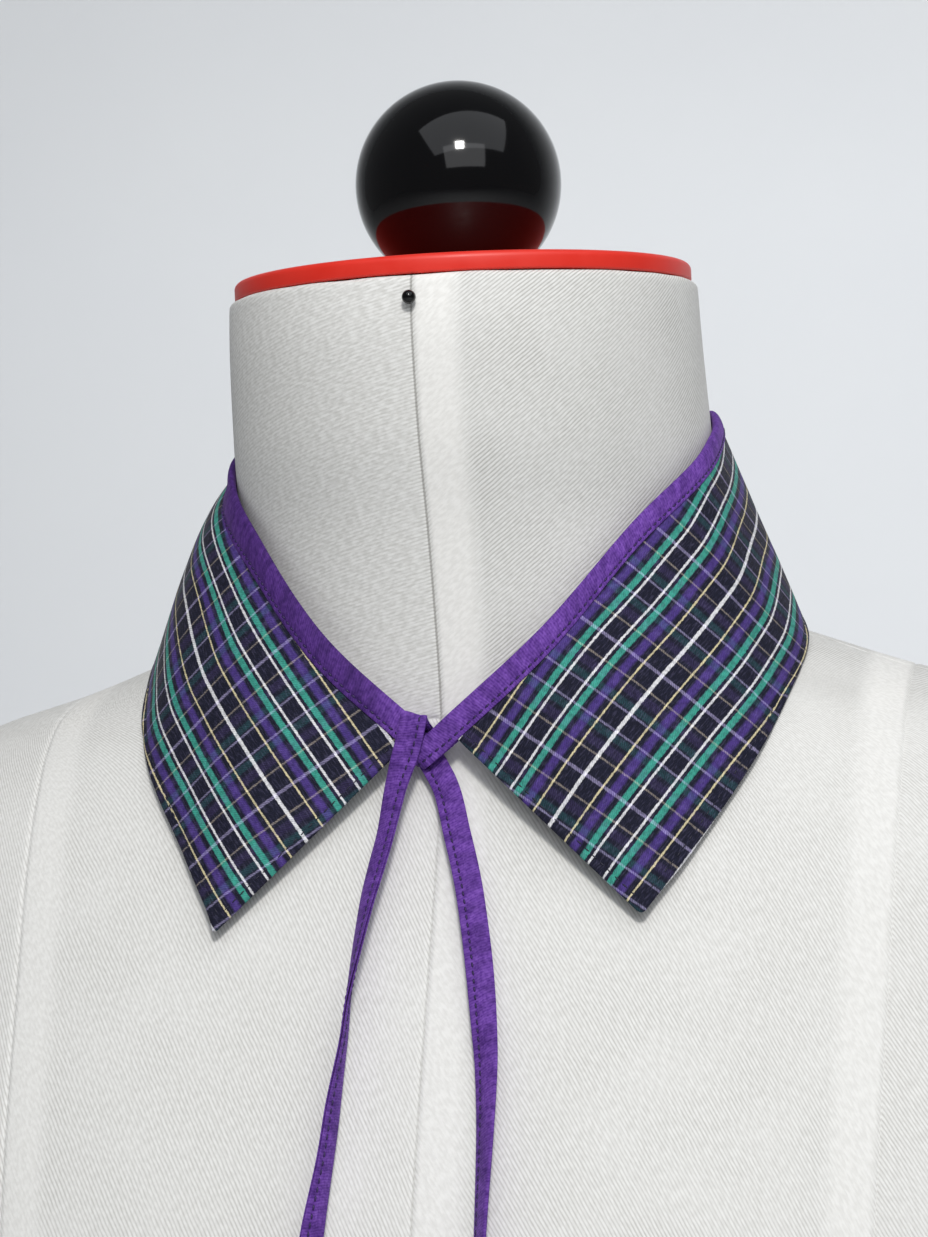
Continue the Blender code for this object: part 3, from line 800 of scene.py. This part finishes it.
def flat_cut(rulings):
    """The collar's rulings laid out flat: pairs of neckline and outer places (along, across).

    They are unrolled triangle by triangle from the centre back, where the ruling lies square to
    the lengthwise stripes and the neckline is NECKLINE_FROM_STRIPE from the white one.
    """
    centre = len(rulings) // 2
    size = (rulings[centre][1] - rulings[centre][0]).length
    places = {centre: (Vector((0, NECKLINE_FROM_STRIPE)), Vector((0, NECKLINE_FROM_STRIPE + size)))}

    def corner(a, b, from_a, from_b, side):
        """The third corner of a triangle on two flat corners, from its two other sides' lengths."""
        base = b - a
        along = (from_a**2 - from_b**2 + base.length_squared) / (2 * base.length)
        height = sqrt(max(0.0, from_a**2 - along**2))
        base = base.normalized()
        return a + base * along + Vector((-base.y, base.x)) * height * side

    for step, side in ((1, 1), (-1, -1)):
        k = centre
        while 0 <= k + step < len(rulings):
            neck, outer = rulings[k]
            next_neck, next_outer = rulings[k + step]
            flat_neck, flat_outer = places[k]
            new_neck = corner(
                flat_neck, flat_outer, (next_neck - neck).length, (next_neck - outer).length, -side)
            new_outer = corner(
                new_neck, flat_outer, (next_outer - next_neck).length, (next_outer - outer).length, -side)
            places[k + step] = (new_neck, new_outer)
            k += step
    return [places[k] for k in range(len(rulings))]


def threads_at(flat, from_front):
    """Where a place in the flat cut lies in the check; from_front counts sections from its front."""
    side = 1 if flat.x > 0 else -1
    pivot = Vector((THREAD_PIVOT[0] * side, THREAD_PIVOT[1]))
    turned = Matrix.Rotation(THREAD_TURN * side, 2) @ (flat - pivot) + pivot
    back = Vector((flat.x * BACK_EASE, flat.y))
    place = turned.lerp(back, eased((from_front - EASED_FROM) / (EASED_TO - EASED_FROM)))
    # The lengthwise threads wander a few mm towards the outer edge over the shoulders. On +X they
    # stay out on the way to the front; on -X they come back before it and draw apart a little.
    away = abs(place.x)
    over_shoulder = eased((away - 0.050) / 0.050)
    if side > 0:
        place.y += 2.7 * MM * eased((away + 0.35 * place.y - 0.100) / 0.075)
        over_shoulder *= 2.4 * eased((0.143 - away) / 0.022) - 0.7 * dip(away - 0.161, 0.014)
    else:
        pulled = eased((away - 0.090) / 0.110)
        place.y += pulled * (0.03 * place.y - 0.3 * MM)
        over_shoulder *= 3.9 * eased((0.1687 - away) / 0.030) * eased((place.y + 0.023) / 0.020)
    place.y += over_shoulder * MM
    return place


def rounded_tip(flat, tip, along_edge, along_front):
    """How far a place near the collar's tip moves along its two edges so that the tip is round."""
    corner = Matrix((along_edge, along_front)).transposed().inverted() @ (flat - tip)
    near = [max(TIP_ROUNDING - part, 0.0) for part in corner]
    far = sqrt(near[0]**2 + near[1]**2)
    if min(near) <= 0.0:
        return 0.0, 0.0
    drawn = 1 - max(near) / far
    return near[0] * drawn, near[1] * drawn


def depths_along(first, width, slant):
    """How far down a ruling its points lie: closest together at the check's two edges."""
    depths = [first + step for step in NECK_EDGE_STEPS]
    start, last = depths[-1], width - OUTER_EDGE_STEPS[-1] / slant
    depths += [start + (last - start) * j / COLUMNS_BETWEEN for j in range(1, COLUMNS_BETWEEN)]
    return depths + [width - step / slant for step in reversed(OUTER_EDGE_STEPS)]


def wall_at(from_neck, from_outer, from_side):
    """The check's thickness: rounded off at its edges, bulky inside them, pulled in by the stitching."""
    nearest = min(from_outer, from_side)
    wall = CHECK_THICKNESS + TURNING_BULK * dip(nearest - EDGE_STITCH_IN / 2, EDGE_STITCH_IN / 3)
    wall -= EDGE_STITCH_PULL * dip(nearest - EDGE_STITCH_IN, 0.4 * MM)
    wall *= edge_round(from_outer, 0.5 * MM) * edge_round(from_side, 0.5 * MM)
    return wall * edge_round(from_neck, 0.4 * MM)


def press(sections, middles, cuts, depth_rows):
    """Moves the collar's points slightly in and out: it is a little wavy, and swells on -X."""
    outs = grid_normals(middles)
    below_strip = 1.2 * STRIP_WIDTH
    for section, middle, out, cut, depths in zip(sections, middles, outs, cuts, depth_rows):
        swell = left_only(section, *LEFT_SWELL)
        for c, (flat, depth) in enumerate(zip(cut, depths)):
            wave = sum(share * noise((flat.x * size, flat.y * size, z)) for size, share, z in COLLAR_WAVES)
            down = (depth - below_strip) / (depths[-1] - below_strip)
            bulge = swell * sin(pi * min(max(down, 0.0), 1.0) ** 0.6)
            middle[c] = middle[c] + out[c] * (COLLAR_WAVE * wave * eased((depth - 0.008) / 0.03) + bulge)


def round_tips(rulings, flats, middles, cuts):
    """Moves the points beside the collar's two tips so that they are turned round."""
    for last, earlier in ((0, 1), (-1, -2)):
        tip, front = rulings[last][1], (rulings[last][0] - rulings[last][1]).normalized()
        edge = (rulings[earlier][1] - tip).normalized()
        flat_tip, flat_edge = flats[last][1], (flats[earlier][1] - flats[last][1]).normalized()
        flat_front = (flats[last][0] - flat_tip).normalized()
        for middle, cut in zip(middles, cuts):
            for c, flat in enumerate(cut):
                if (flat - flat_tip).length < 3 * TIP_ROUNDING:
                    on_edge, on_front = rounded_tip(flat, flat_tip, flat_edge, flat_front)
                    middle[c] = middle[c] + edge * on_edge + front * on_front
                    cut[c] = flat + flat_edge * on_edge + flat_front * on_front


def build_collar(material):
    """The double layer of check, turned and edge-stitched round its fronts and outer edge.

    Returns the piece, its outer face, its outward directions, each point's distance from the
    nearer front, the size of the flat cut and its area.
    """
    sections = collar_places()
    rulings = [ruling_at(place) for place in sections]
    flats = flat_cut(rulings)
    count = len(rulings)
    middles, thicknesses, cuts, front_gaps, depth_rows = [], [], [], [], []
    for k, (section, ruling, (flat_neck, flat_outer)) in enumerate(zip(sections, rulings, flats)):
        width = (ruling[1] - ruling[0]).length
        ruling = drawn_in(section, ruling)
        edge = (flats[min(k + 1, count - 1)][1] - flats[max(k - 1, 0)][1]).normalized()
        rule = (flat_outer - flat_neck).normalized()
        slant = abs(edge.x * rule.y - edge.y * rule.x)
        first = NECK_EDGE_DEPTH
        if k < count // 2:
            from_corner = (flat_neck - flats[0][0]).length
            first = max(first, LEFT_CORNER_DEPTH - LEFT_CORNER_RISE * from_corner)
        depths = depths_along(first, width, slant)
        cut = [flat_neck.lerp(flat_outer, depth / width) for depth in depths]
        gaps = [min(off_line(flat, *flats[0]), off_line(flat, *flats[-1])) for flat in cut]
        middles.append([cloth_point(ruling, depth) for depth in depths])
        thicknesses.append([
            wall_at(depth - first, (width - depth) * slant, gap) for depth, gap in zip(depths, gaps)
        ])
        cuts.append(cut)
        front_gaps.append(gaps)
        depth_rows.append(depths)
    press(sections, middles, cuts, depth_rows)
    round_tips(rulings, flats, middles, cuts)

    # the check's own places: along from a pale crosswise stripe, across from a white lengthwise one
    spans = len(collar_rows()) - 1
    near_fronts = [min(section, spans - section) for section in sections]
    stripe = threads_at(flats[-1][0], 0).x - WEFT_STRIPE_FROM_RIGHT * MM
    checked = []
    for cut, near_front in zip(cuts, near_fronts):
        places = [threads_at(flat, near_front) for flat in cut]
        checked.append([(stripe - place.x, place.y) for place in places])

    corners = [corner for pair in flats for corner in pair]
    size = [max(c[i] for c in corners) - min(c[i] for c in corners) for i in (1, 0)]
    area = 0.0
    for (neck, outer), (next_neck, next_outer) in zip(flats, flats[1:]):
        area += abs((next_outer - neck).cross(outer - next_neck)) / 2
    piece, skin, outs = cloth_mesh("check_collar", middles, thicknesses, checked, material)
    return piece, skin, outs, front_gaps, size, area


def edge_stitches(skin, outs, front_gaps):
    """Runs of stitches round the collar's outer edge and up both fronts, on its two faces."""
    column = len(skin[0]) - 1 - OUTER_EDGE_STEPS.index(EDGE_STITCH_IN)
    lines = []
    rows = [r for r in range(len(skin)) if front_gaps[r][column] >= EDGE_STITCH_IN]
    lines.append(([skin[r][column] for r in rows], [outs[r][column] for r in rows]))
    half = len(skin) // 2
    for order in (range(half), range(len(skin) - 1, half, -1)):
        points, directions = [], []
        for c in range(len(NECK_EDGE_STEPS), column + 1):
            for r, following in zip(order, order[1:]):
                near, far = front_gaps[r][c], front_gaps[following][c]
                if near <= EDGE_STITCH_IN < far:
                    t = (EDGE_STITCH_IN - near) / (far - near)
                    points.append(skin[r][c].lerp(skin[following][c], t))
                    directions.append(outs[r][c])
                    break
        lines.append((points, directions))
    runs = []
    for points, directions in lines:
        under = [p - d * (CHECK_THICKNESS - EDGE_STITCH_PULL) for p, d in zip(points, directions)]
        runs += stitch_runs(points, directions, EDGE_PITCH, EDGE_STITCH)
        runs += stitch_runs(under, [-d for d in directions], EDGE_PITCH, EDGE_STITCH)
    return runs


# --- the bias strip ---
def strip_stations(route, lean, start=None, start_across=None):
    """Middle, width direction and face direction at close steps along a route.

    With a start point and its width direction, the strip comes smoothly out of what is there.
    """
    rows = [list(row) for row in route]
    if start:
        rows.insert(0, [start.x, start.z, in_front(start.x, start.z, 0).y - start.y, 0.0])
    corners = [in_front(*row[:3]) for row in rows]
    places = [0.0]
    for k, (corner, following) in enumerate(zip(corners, corners[1:])):
        count = max(6, round((following - corner).length / STATION_STEP))
        places += [k + (j + 1) / count for j in range(count)]
    stations = [on_curve(rows, place) for place in places]
    middles = [in_front(*station[:3]) for station in stations]
    found = []
    for k, (middle, station, place) in enumerate(zip(middles, stations, places)):
        along = (middles[min(k + 1, len(middles) - 1)] - middles[max(k - 1, 0)]).normalized()
        across = Vector((cos(station[3]), sin(station[3]), lean)).normalized()
        if start:
            across = start_across.lerp(across, eased(place / 2))
        across = (across - along * across.dot(along)).normalized()
        found.append((middle, across, along.cross(across).normalized()))
    return found


def leaf_grid(lines, outs, spreads):
    """Points through the middle of a folded strip: the inner leaf, round the fold, the outer leaf.

    lines gives each row's points down from the fold, in the order of STRIP_LEAF.
    """
    rows = []
    for line, out, spread in zip(lines, outs, spreads):
        offsets = [o * (leaf[1] * MM * spread) for o, leaf in zip(out, STRIP_LEAF)]
        inner = [point - offset for point, offset in zip(line, offsets)]
        outer = [point + offset for point, offset in zip(line, offsets)]
        rows.append(inner + outer[-2::-1])
    return rows


def strip_lines(stations, open_side):
    """Rows of points across flat stations, down from the fold; open_side is the open edge's side."""
    depths = [depth for depth, _, _ in STRIP_LEAF]
    from_edge = [min((depths[0] - depth) / LOOSE_FROM_EDGE, 1.0) for depth in depths]
    depths = [depth - LOOSE_INSET * sin(pi * share) for depth, share in zip(depths, from_edge)]
    lines, outs = [], []
    for middle, across, out in stations:
        down = across * open_side
        fold = middle - down * (TIE_WIDTH / 2)
        lines.append([fold + down * (depth * MM * TIE_WIDTH / STRIP_WIDTH) for depth in depths])
        outs.append([out * open_side] * len(STRIP_LEAF))
    return lines, outs


def finish_strip(name, lines, outs, spreads, material):
    """The mesh of a folded strip, and the runs of its stitches on both faces."""
    middles = leaf_grid(lines, outs, [spread for spread, _ in spreads])
    tracks = travelled([line[STITCHED_PLACE] for line in lines])
    leaf = [row[2] for row in STRIP_LEAF]
    walls = leaf + leaf[-2::-1]
    depths = [row[0] for row in STRIP_LEAF]
    depths = [-depth for depth in depths] + depths[-2::-1]
    thicknesses, cuts = [], []
    for track, (_, share) in zip(tracks, spreads):
        end = edge_round(min(track, tracks[-1] - track), 0.4 * MM)
        thicknesses.append([wall * MM * share * end for wall in walls])
        cuts.append([(track, depth * MM) for depth in depths])
    piece, skin, directions = cloth_mesh(name, middles, thicknesses, cuts, material)
    runs = []
    for column in (STITCHED_PLACE, len(walls) - 1 - STITCHED_PLACE):
        line = [row[column] for row in skin]
        runs += stitch_runs(line, [row[column] for row in directions], TOP_PITCH, TOP_STITCH)
    return piece, runs


def build_binding(material):
    """The strip over the neckline, and past the +X front across the knot and up behind it."""
    rulings = [drawn_in(place, ruling_at(place)) for place in collar_places()]
    lines = []
    for place, ruling in zip(collar_places(), rulings):
        wider = 1 + left_only(place, *LEFT_WIDER)
        lines.append([cloth_point(ruling, leaf[0] * MM * wider) for leaf in STRIP_LEAF])
    outs = [[-out for out in row] for row in grid_normals(lines)]
    spreads = [(1.0, 1.0)] * len(lines)
    neckline, outer = rulings[-1]
    down = (outer - neckline).normalized()
    start = cloth_point(rulings[-1], STRIP_WIDTH / 2)
    stations = strip_stations(KNOT_ROUTE, CROSS_LEAN, start, down)[1:]
    knot_lines, knot_outs = strip_lines(stations, 1)
    onward = [(end - earlier).normalized() for end, earlier in zip(lines[-1], lines[-3])]
    ways = travelled([start] + [middle for middle, _, _ in stations])[1:]
    for k, gone in enumerate(ways):
        closed = eased(gone / KNOT_BLEND)
        knot_lines[k] = [
            (end + way * gone).lerp(point, closed)
            for end, way, point in zip(lines[-1], onward, knot_lines[k])
        ]
        knot_outs[k] = [out.lerp(new, closed).normalized() for out, new in zip(outs[-1], knot_outs[k])]
        spreads.append((1 + (CLOSED_OUT - 1) * closed, 1 + (CLOSED_THICKNESS - 1) * closed))
    return finish_strip("bias_binding", lines + knot_lines, outs + knot_outs, spreads, material)


def build_tie(name, route, lean, open_side, material):
    """One hanging end of the strip, the runs of its stitches, and the line through its middle."""
    stations = strip_stations(route, lean)
    lines, outs = strip_lines(stations, open_side)
    spreads = [(CLOSED_OUT, CLOSED_THICKNESS)] * len(lines)
    piece, runs = finish_strip(name, lines, outs, spreads, material)
    return piece, runs, [middle for middle, _, _ in stations]


# --- the dress form ---
def form_levels():
    """Height, inset and shrinking of each ring of the cover, from the middle of the foot to the top."""
    levels = [(0.0, FORM_ROUNDING, share) for share in (0.0, 0.4, 0.75, 0.94)]
    for k in range(5):
        turn = pi / 2 * k / 4
        levels.append((FORM_ROUNDING * (1 - cos(turn)), FORM_ROUNDING * (1 - sin(turn)), 1.0))
    height = FORM_ROUNDING
    while height < NECK_TOP - FORM_ROUNDING - 0.003:
        height += FORM_NECK_STEP if 0.470 < height < 0.520 else FORM_STEP
        levels.append((height, 0.0, 1.0))
    for k in range(1, 7):
        turn = pi / 2 * k / 6
        levels.append((NECK_TOP - FORM_ROUNDING * (1 - sin(turn)), FORM_ROUNDING * (1 - cos(turn)), 1.0))
    levels += [(NECK_TOP, FORM_ROUNDING, share) for share in (0.93, 0.7, 0.35, 0.0)]
    return levels


def cover_point(turn, height, inset, shrink):
    """A point of the cover, drawn in from the form's surface and shrunk towards its axis."""
    point = form_point(turn, height)
    _, front, back, _ = form_section(height)
    axis = Vector((0, (front + back) / 2, height))
    spoke = point - axis
    point = axis + spoke * ((1 - inset / spoke.length) * shrink)
    if height > NECK_TOP - 0.004 and shrink == 1.0:
        rise = TOP_EDGE_UNEVEN * noise((sin(turn) * 5, cos(turn) * 5, 1.7))
        point.z += rise * eased((height - NECK_TOP + 0.004) / 0.003)
    return point


def build_form(material):
    """The form in its sewn cotton cover: the panels meet in narrow sunk seams."""
    levels = form_levels()
    rings = [
        [cover_point(2 * pi * (k / FORM_SIDES - 0.5), *level) for k in range(FORM_SIDES + 1)]
        for level in levels
    ]
    arcs = [travelled(ring) for ring in rings]
    slopes = [travelled(column) for column in zip(*rings)]
    shape = bmesh.new()
    flat = shape.verts.layers.float_vector.new("flat")
    for vert, r, c in laid_grid(shape, rings):
        vert[flat] = (arcs[r][c] - arcs[r][FORM_SIDES // 2], slopes[c][r], 0)

    # cut the mesh along each seam and sink it
    for place, direction, below_neck in SEAMS.values():
        place, direction = Vector(place), Vector(direction).normalized()
        for offset in SEAM_STEPS:
            near = []
            for face in shape.faces:
                centre = face.calc_center_median()
                beside = abs((centre - place).dot(direction)) < SEAM_REACH
                upright = 0.0005 < centre.z < NECK_TOP - 0.0002
                if beside and upright and (not below_neck or below(centre)):
                    near.append(face)
            edges = {edge for face in near for edge in face.edges}
            verts = {vert for face in near for vert in face.verts}
            bmesh.ops.bisect_plane(
                shape, geom=list(verts) + list(edges) + near, dist=1e-6,
                plane_co=place + direction * offset, plane_no=direction)
    bmesh.ops.remove_doubles(shape, verts=shape.verts, dist=2e-6)
    bmesh.ops.recalc_face_normals(shape, faces=shape.faces)
    shape.normal_update()
    sunk = {}
    for vert in shape.verts:
        depth = 0.0
        for place, direction, below_neck in SEAMS.values():
            if below_neck and not below(vert.co, 0.0005):
                continue
            distance = (vert.co - Vector(place)).dot(Vector(direction).normalized())
            depth = max(depth, SEAM_DEPTH * dip(distance, 0.5 * MM))
        if depth > 1e-6 and 0.001 < vert.co.z < NECK_TOP - 0.0002:
            sunk[vert] = vert.normal * depth
    for vert, move in sunk.items():
        vert.co -= move

    twill = shape.loops.layers.uv.new("twill")
    for face in shape.faces:
        centre = face.calc_center_median()
        angle, shift, tight = twill_of(centre)
        for loop in face.loops:
            u, v, _ = loop.vert[flat]
            if not below(centre):
                v = loop.vert.co.z
            across = (u * sin(angle) - v * cos(angle)) * tight + shift
            loop[twill].uv = (across, u * cos(angle) + v * sin(angle))
    return finish_piece("form_cover", shape, material, sharp=1.2)


def below(point, margin=0.0):
    """Whether a point lies under the seam round the foot of the neck."""
    place, direction, _ = SEAMS["neck"]
    return (point - Vector(place)).dot(Vector(direction)) < margin


def twill_of(centre):
    """The direction of the twill in the panel at a point, a shift that parts it from the next
    panel's, and how tight it lies: the cloth is stretched more in some panels than in others."""
    if not below(centre):
        return (radians(37), 0.0, 1.06) if centre.x > 0 else (radians(14), 0.0004, 1.06)
    princess = PRINCESS_AT_FOOT + PRINCESS_LEAN * centre.z
    if abs(centre.x) < princess:
        return (radians(-56), 0.0, 0.95) if centre.x > 0 else (radians(-64), 0.0003, 1.04)
    return (radians(-49), 0.0002, 0.90) if centre.x > 0 else (radians(-70), 0.0005, 1.15)


# --- the plate, the ball and the pin ---
def build_plate(material):
    """The flat plate on the neck, its upper rim rounded over."""
    half_width, front, back, _ = form_section(NECK_TOP)
    low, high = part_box("neck_plate")
    shape = bmesh.new()
    size = Matrix.Diagonal((half_width - PLATE_INSET, (back - front) / 2 - PLATE_INSET, 1, 1))
    place = Matrix.Translation((0, (front + back) / 2, low[2]))
    bmesh.ops.create_circle(shape, cap_ends=True, segments=144, radius=1, matrix=place @ size)
    top = bmesh.ops.extrude_face_region(shape, geom=shape.faces[:])["geom"]
    raised = [part for part in top if isinstance(part, bmesh.types.BMVert)]
    bmesh.ops.translate(shape, verts=raised, vec=(0, 0, high[2] - low[2]))
    bmesh.ops.recalc_face_normals(shape, faces=shape.faces)
    for height, rounding, steps in ((high[2], 1.5 * MM, 6), (low[2], 0.6 * MM, 3)):
        rim = [edge for edge in shape.edges if all(abs(v.co.z - height) < 1e-6 for v in edge.verts)]
        bmesh.ops.bevel(shape, geom=rim, offset=rounding, offset_type="OFFSET", affect="EDGES",
                        segments=steps, profile=0.5, material=-1)
    return finish_piece("plate", shape, material)


def build_ball(material):
    """The lacquered ball, turned flat where it is screwed down on the plate."""
    low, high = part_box("ball_knob")
    radius = (high[0] - low[0]) / 2
    centre = Vector(((low[0] + high[0]) / 2, (low[1] + high[1]) / 2, high[2] - radius))
    shape = bmesh.new()
    bmesh.ops.create_uvsphere(shape, u_segments=96, v_segments=64, radius=radius,
                              matrix=Matrix.Translation(centre))
    everything = shape.verts[:] + shape.edges[:] + shape.faces[:]
    cut = bmesh.ops.bisect_plane(
        shape, geom=everything, plane_co=(0, 0, low[2]), plane_no=(0, 0, -1), clear_outer=True)
    rim = [part for part in cut["geom_cut"] if isinstance(part, bmesh.types.BMEdge)]
    bmesh.ops.contextual_create(shape, geom=rim)
    bmesh.ops.recalc_face_normals(shape, faces=shape.faces)
    return finish_piece("ball", shape, material, sharp=0.7)


def build_pin(material):
    """A dressmaker's pin pushed in at the top of the front seam: its round head on a short shank."""
    low, high = (Vector(corner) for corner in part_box("pin_head"))
    centre, radius = (low + high) / 2, (high.x - low.x) / 2
    shape = bmesh.new()
    bmesh.ops.create_uvsphere(shape, u_segments=32, v_segments=20, radius=radius,
                              matrix=Matrix.Translation(centre))
    for vert in shape.verts:
        if vert.co.y > centre.y + radius * 0.75:
            vert.co.y = centre.y + radius * 0.75
    shank = Matrix.Translation(centre + Vector((0, radius, 0))) @ Matrix.Rotation(pi / 2, 4, "X")
    bmesh.ops.create_cone(shape, cap_ends=True, segments=12, radius1=0.3 * MM, radius2=0.3 * MM,
                          depth=radius, matrix=shank)
    bmesh.ops.recalc_face_normals(shape, faces=shape.faces)
    return finish_piece("pin", shape, material, sharp=0.7)


# --- camera, lights and backdrop ---
def place_camera():
    """The camera that looks at the collar from the front."""
    data = bpy.data.cameras.new("camera")
    data.sensor_fit = "VERTICAL"
    data.sensor_height = 36
    data.lens = 80.03
    camera = bpy.data.objects.new("camera", data)
    camera.location = (0.1369, -0.6623, 0.5250)
    camera.rotation_euler = Euler([radians(angle) for angle in (88.805, 2.606, 11.935)])
    bpy.context.collection.objects.link(camera)
    bpy.context.scene.camera = camera


def place_light(name, target, azimuth, elevation, distance, width, height, power, tint):
    """A softbox aimed at a point, from a direction in degrees round from the front."""
    turn, rise = radians(azimuth), radians(elevation)
    direction = Vector((sin(turn) * cos(rise), -cos(turn) * cos(rise), sin(rise)))
    data = bpy.data.lights.new(name, "AREA")
    data.shape = "RECTANGLE"
    data.size, data.size_y = width, height
    data.energy = power
    data.color = colour(tint)[:3]
    light = bpy.data.objects.new(name, data)
    light.location = Vector(target) + direction * distance
    light.rotation_euler = direction.to_track_quat("Z", "Y").to_euler()
    bpy.context.collection.objects.link(light)


def build_backdrop(material):
    """Seamless paper: a floor that sweeps up into a wall behind."""
    front, bend, radius, top, half_width, under_form = -3.0, 0.9, 0.8, 3.5, 3.5, 0.2 * MM
    turns = [pi / 2 * k / 16 for k in range(1, 17)]
    profile = [(front, 0.0), (bend, 0.0)]
    profile += [(bend + radius * sin(turn), radius - radius * cos(turn)) for turn in turns]
    profile.append((bend + radius, top))
    shape = bmesh.new()
    laid_grid(shape, [[(x, y, z - under_form) for x in (-half_width, half_width)] for y, z in profile])
    bmesh.ops.recalc_face_normals(shape, faces=shape.faces)
    backdrop = finish_piece("paper_backdrop", shape, material)
    backdrop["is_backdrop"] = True


def settle(piece, slot, *nodes):
    """Fixes a finished piece to the root body and hides the CAD nodes that it stands for. The slot is not
    used.
    """
    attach(piece, "root")
    if nodes:
        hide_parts(*nodes)


place_camera()

purple = purple_cotton()
purple_thread = sewing_thread("purple_thread", "#32165a", "#1c0a3a")
navy_thread = sewing_thread("navy_thread", "#23233a", "#101020")

# the ties come first
ties = (
    ("left", TIE_LEFT_ROUTE, KNOT_LEAN, 1),
    ("right", TIE_RIGHT_ROUTE, 0.0, -1),
)
for side, route, lean, open_side in ties:
    tie, runs, path = build_tie("strip_end_" + side, route, lean, open_side, purple)
    stitches = sewn_line("stitches_tie_" + side, runs, THREAD_WIDTH, purple_thread)
    settle(tie, "purple_cotton", "tie_" + side)
    settle(stitches, "purple_cotton")
    length = travelled(path)[-1]
    tuple(path[0])
    [tuple(point) for point in path]

binding, runs = build_binding(purple)
binding_stitches = sewn_line("stitches_binding", runs, THREAD_WIDTH, purple_thread)
settle(binding, "purple_cotton", "neckline_binding", "knot_cross", "knot_wrap")
settle(binding_stitches, "purple_cotton")

collar, skin, outs, front_gaps, flat_size, flat_area = build_collar(navy_check())
collar_stitches = sewn_line("stitches_collar", edge_stitches(skin, outs, front_gaps),
                            THREAD_WIDTH * 0.60, navy_thread)
settle(collar, "navy_check", "collar")
settle(collar_stitches, "navy_check")

gloss = black_gloss()
settle(build_form(twill_cover()), "twill_cover", "dress_form")
settle(build_plate(red_plate()), "red_plate", "neck_plate")
settle(build_ball(gloss), "black_gloss", "ball_knob")
settle(build_pin(gloss), "black_gloss", "pin_head")

build_backdrop(studio_paper())
COLLAR_MIDDLE = (0, -0.03, 0.50)
place_light("key softbox", COLLAR_MIDDLE, 16, 40, 1.8, 0.26, 0.26, 17.3, "#fffdf9")
place_light("window softbox", COLLAR_MIDDLE, 27, 58, 1.8, 2.8, 1.5, 14.5, "#f7faff")
place_light("front softbox", COLLAR_MIDDLE, 21, 28, 2.2, 1.7, 1.0, 8.0, "#fbfcff")
place_light("backdrop softbox", (0, 1.6, 1.0), 0, -31, 1.45, 2.0, 0.5, 14.0, "#fbfcff")
world = bpy.data.worlds.new("studio")
world.use_nodes = True
world.node_tree.nodes["Background"].inputs["Color"].default_value = colour("#eef1f5")
world.node_tree.nodes["Background"].inputs["Strength"].default_value = 0.16
bpy.context.scene.world = world
bpy.context.scene.view_settings.view_transform = "Standard"

[[list(corner) for corner in box] for box in (cad_box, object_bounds())]
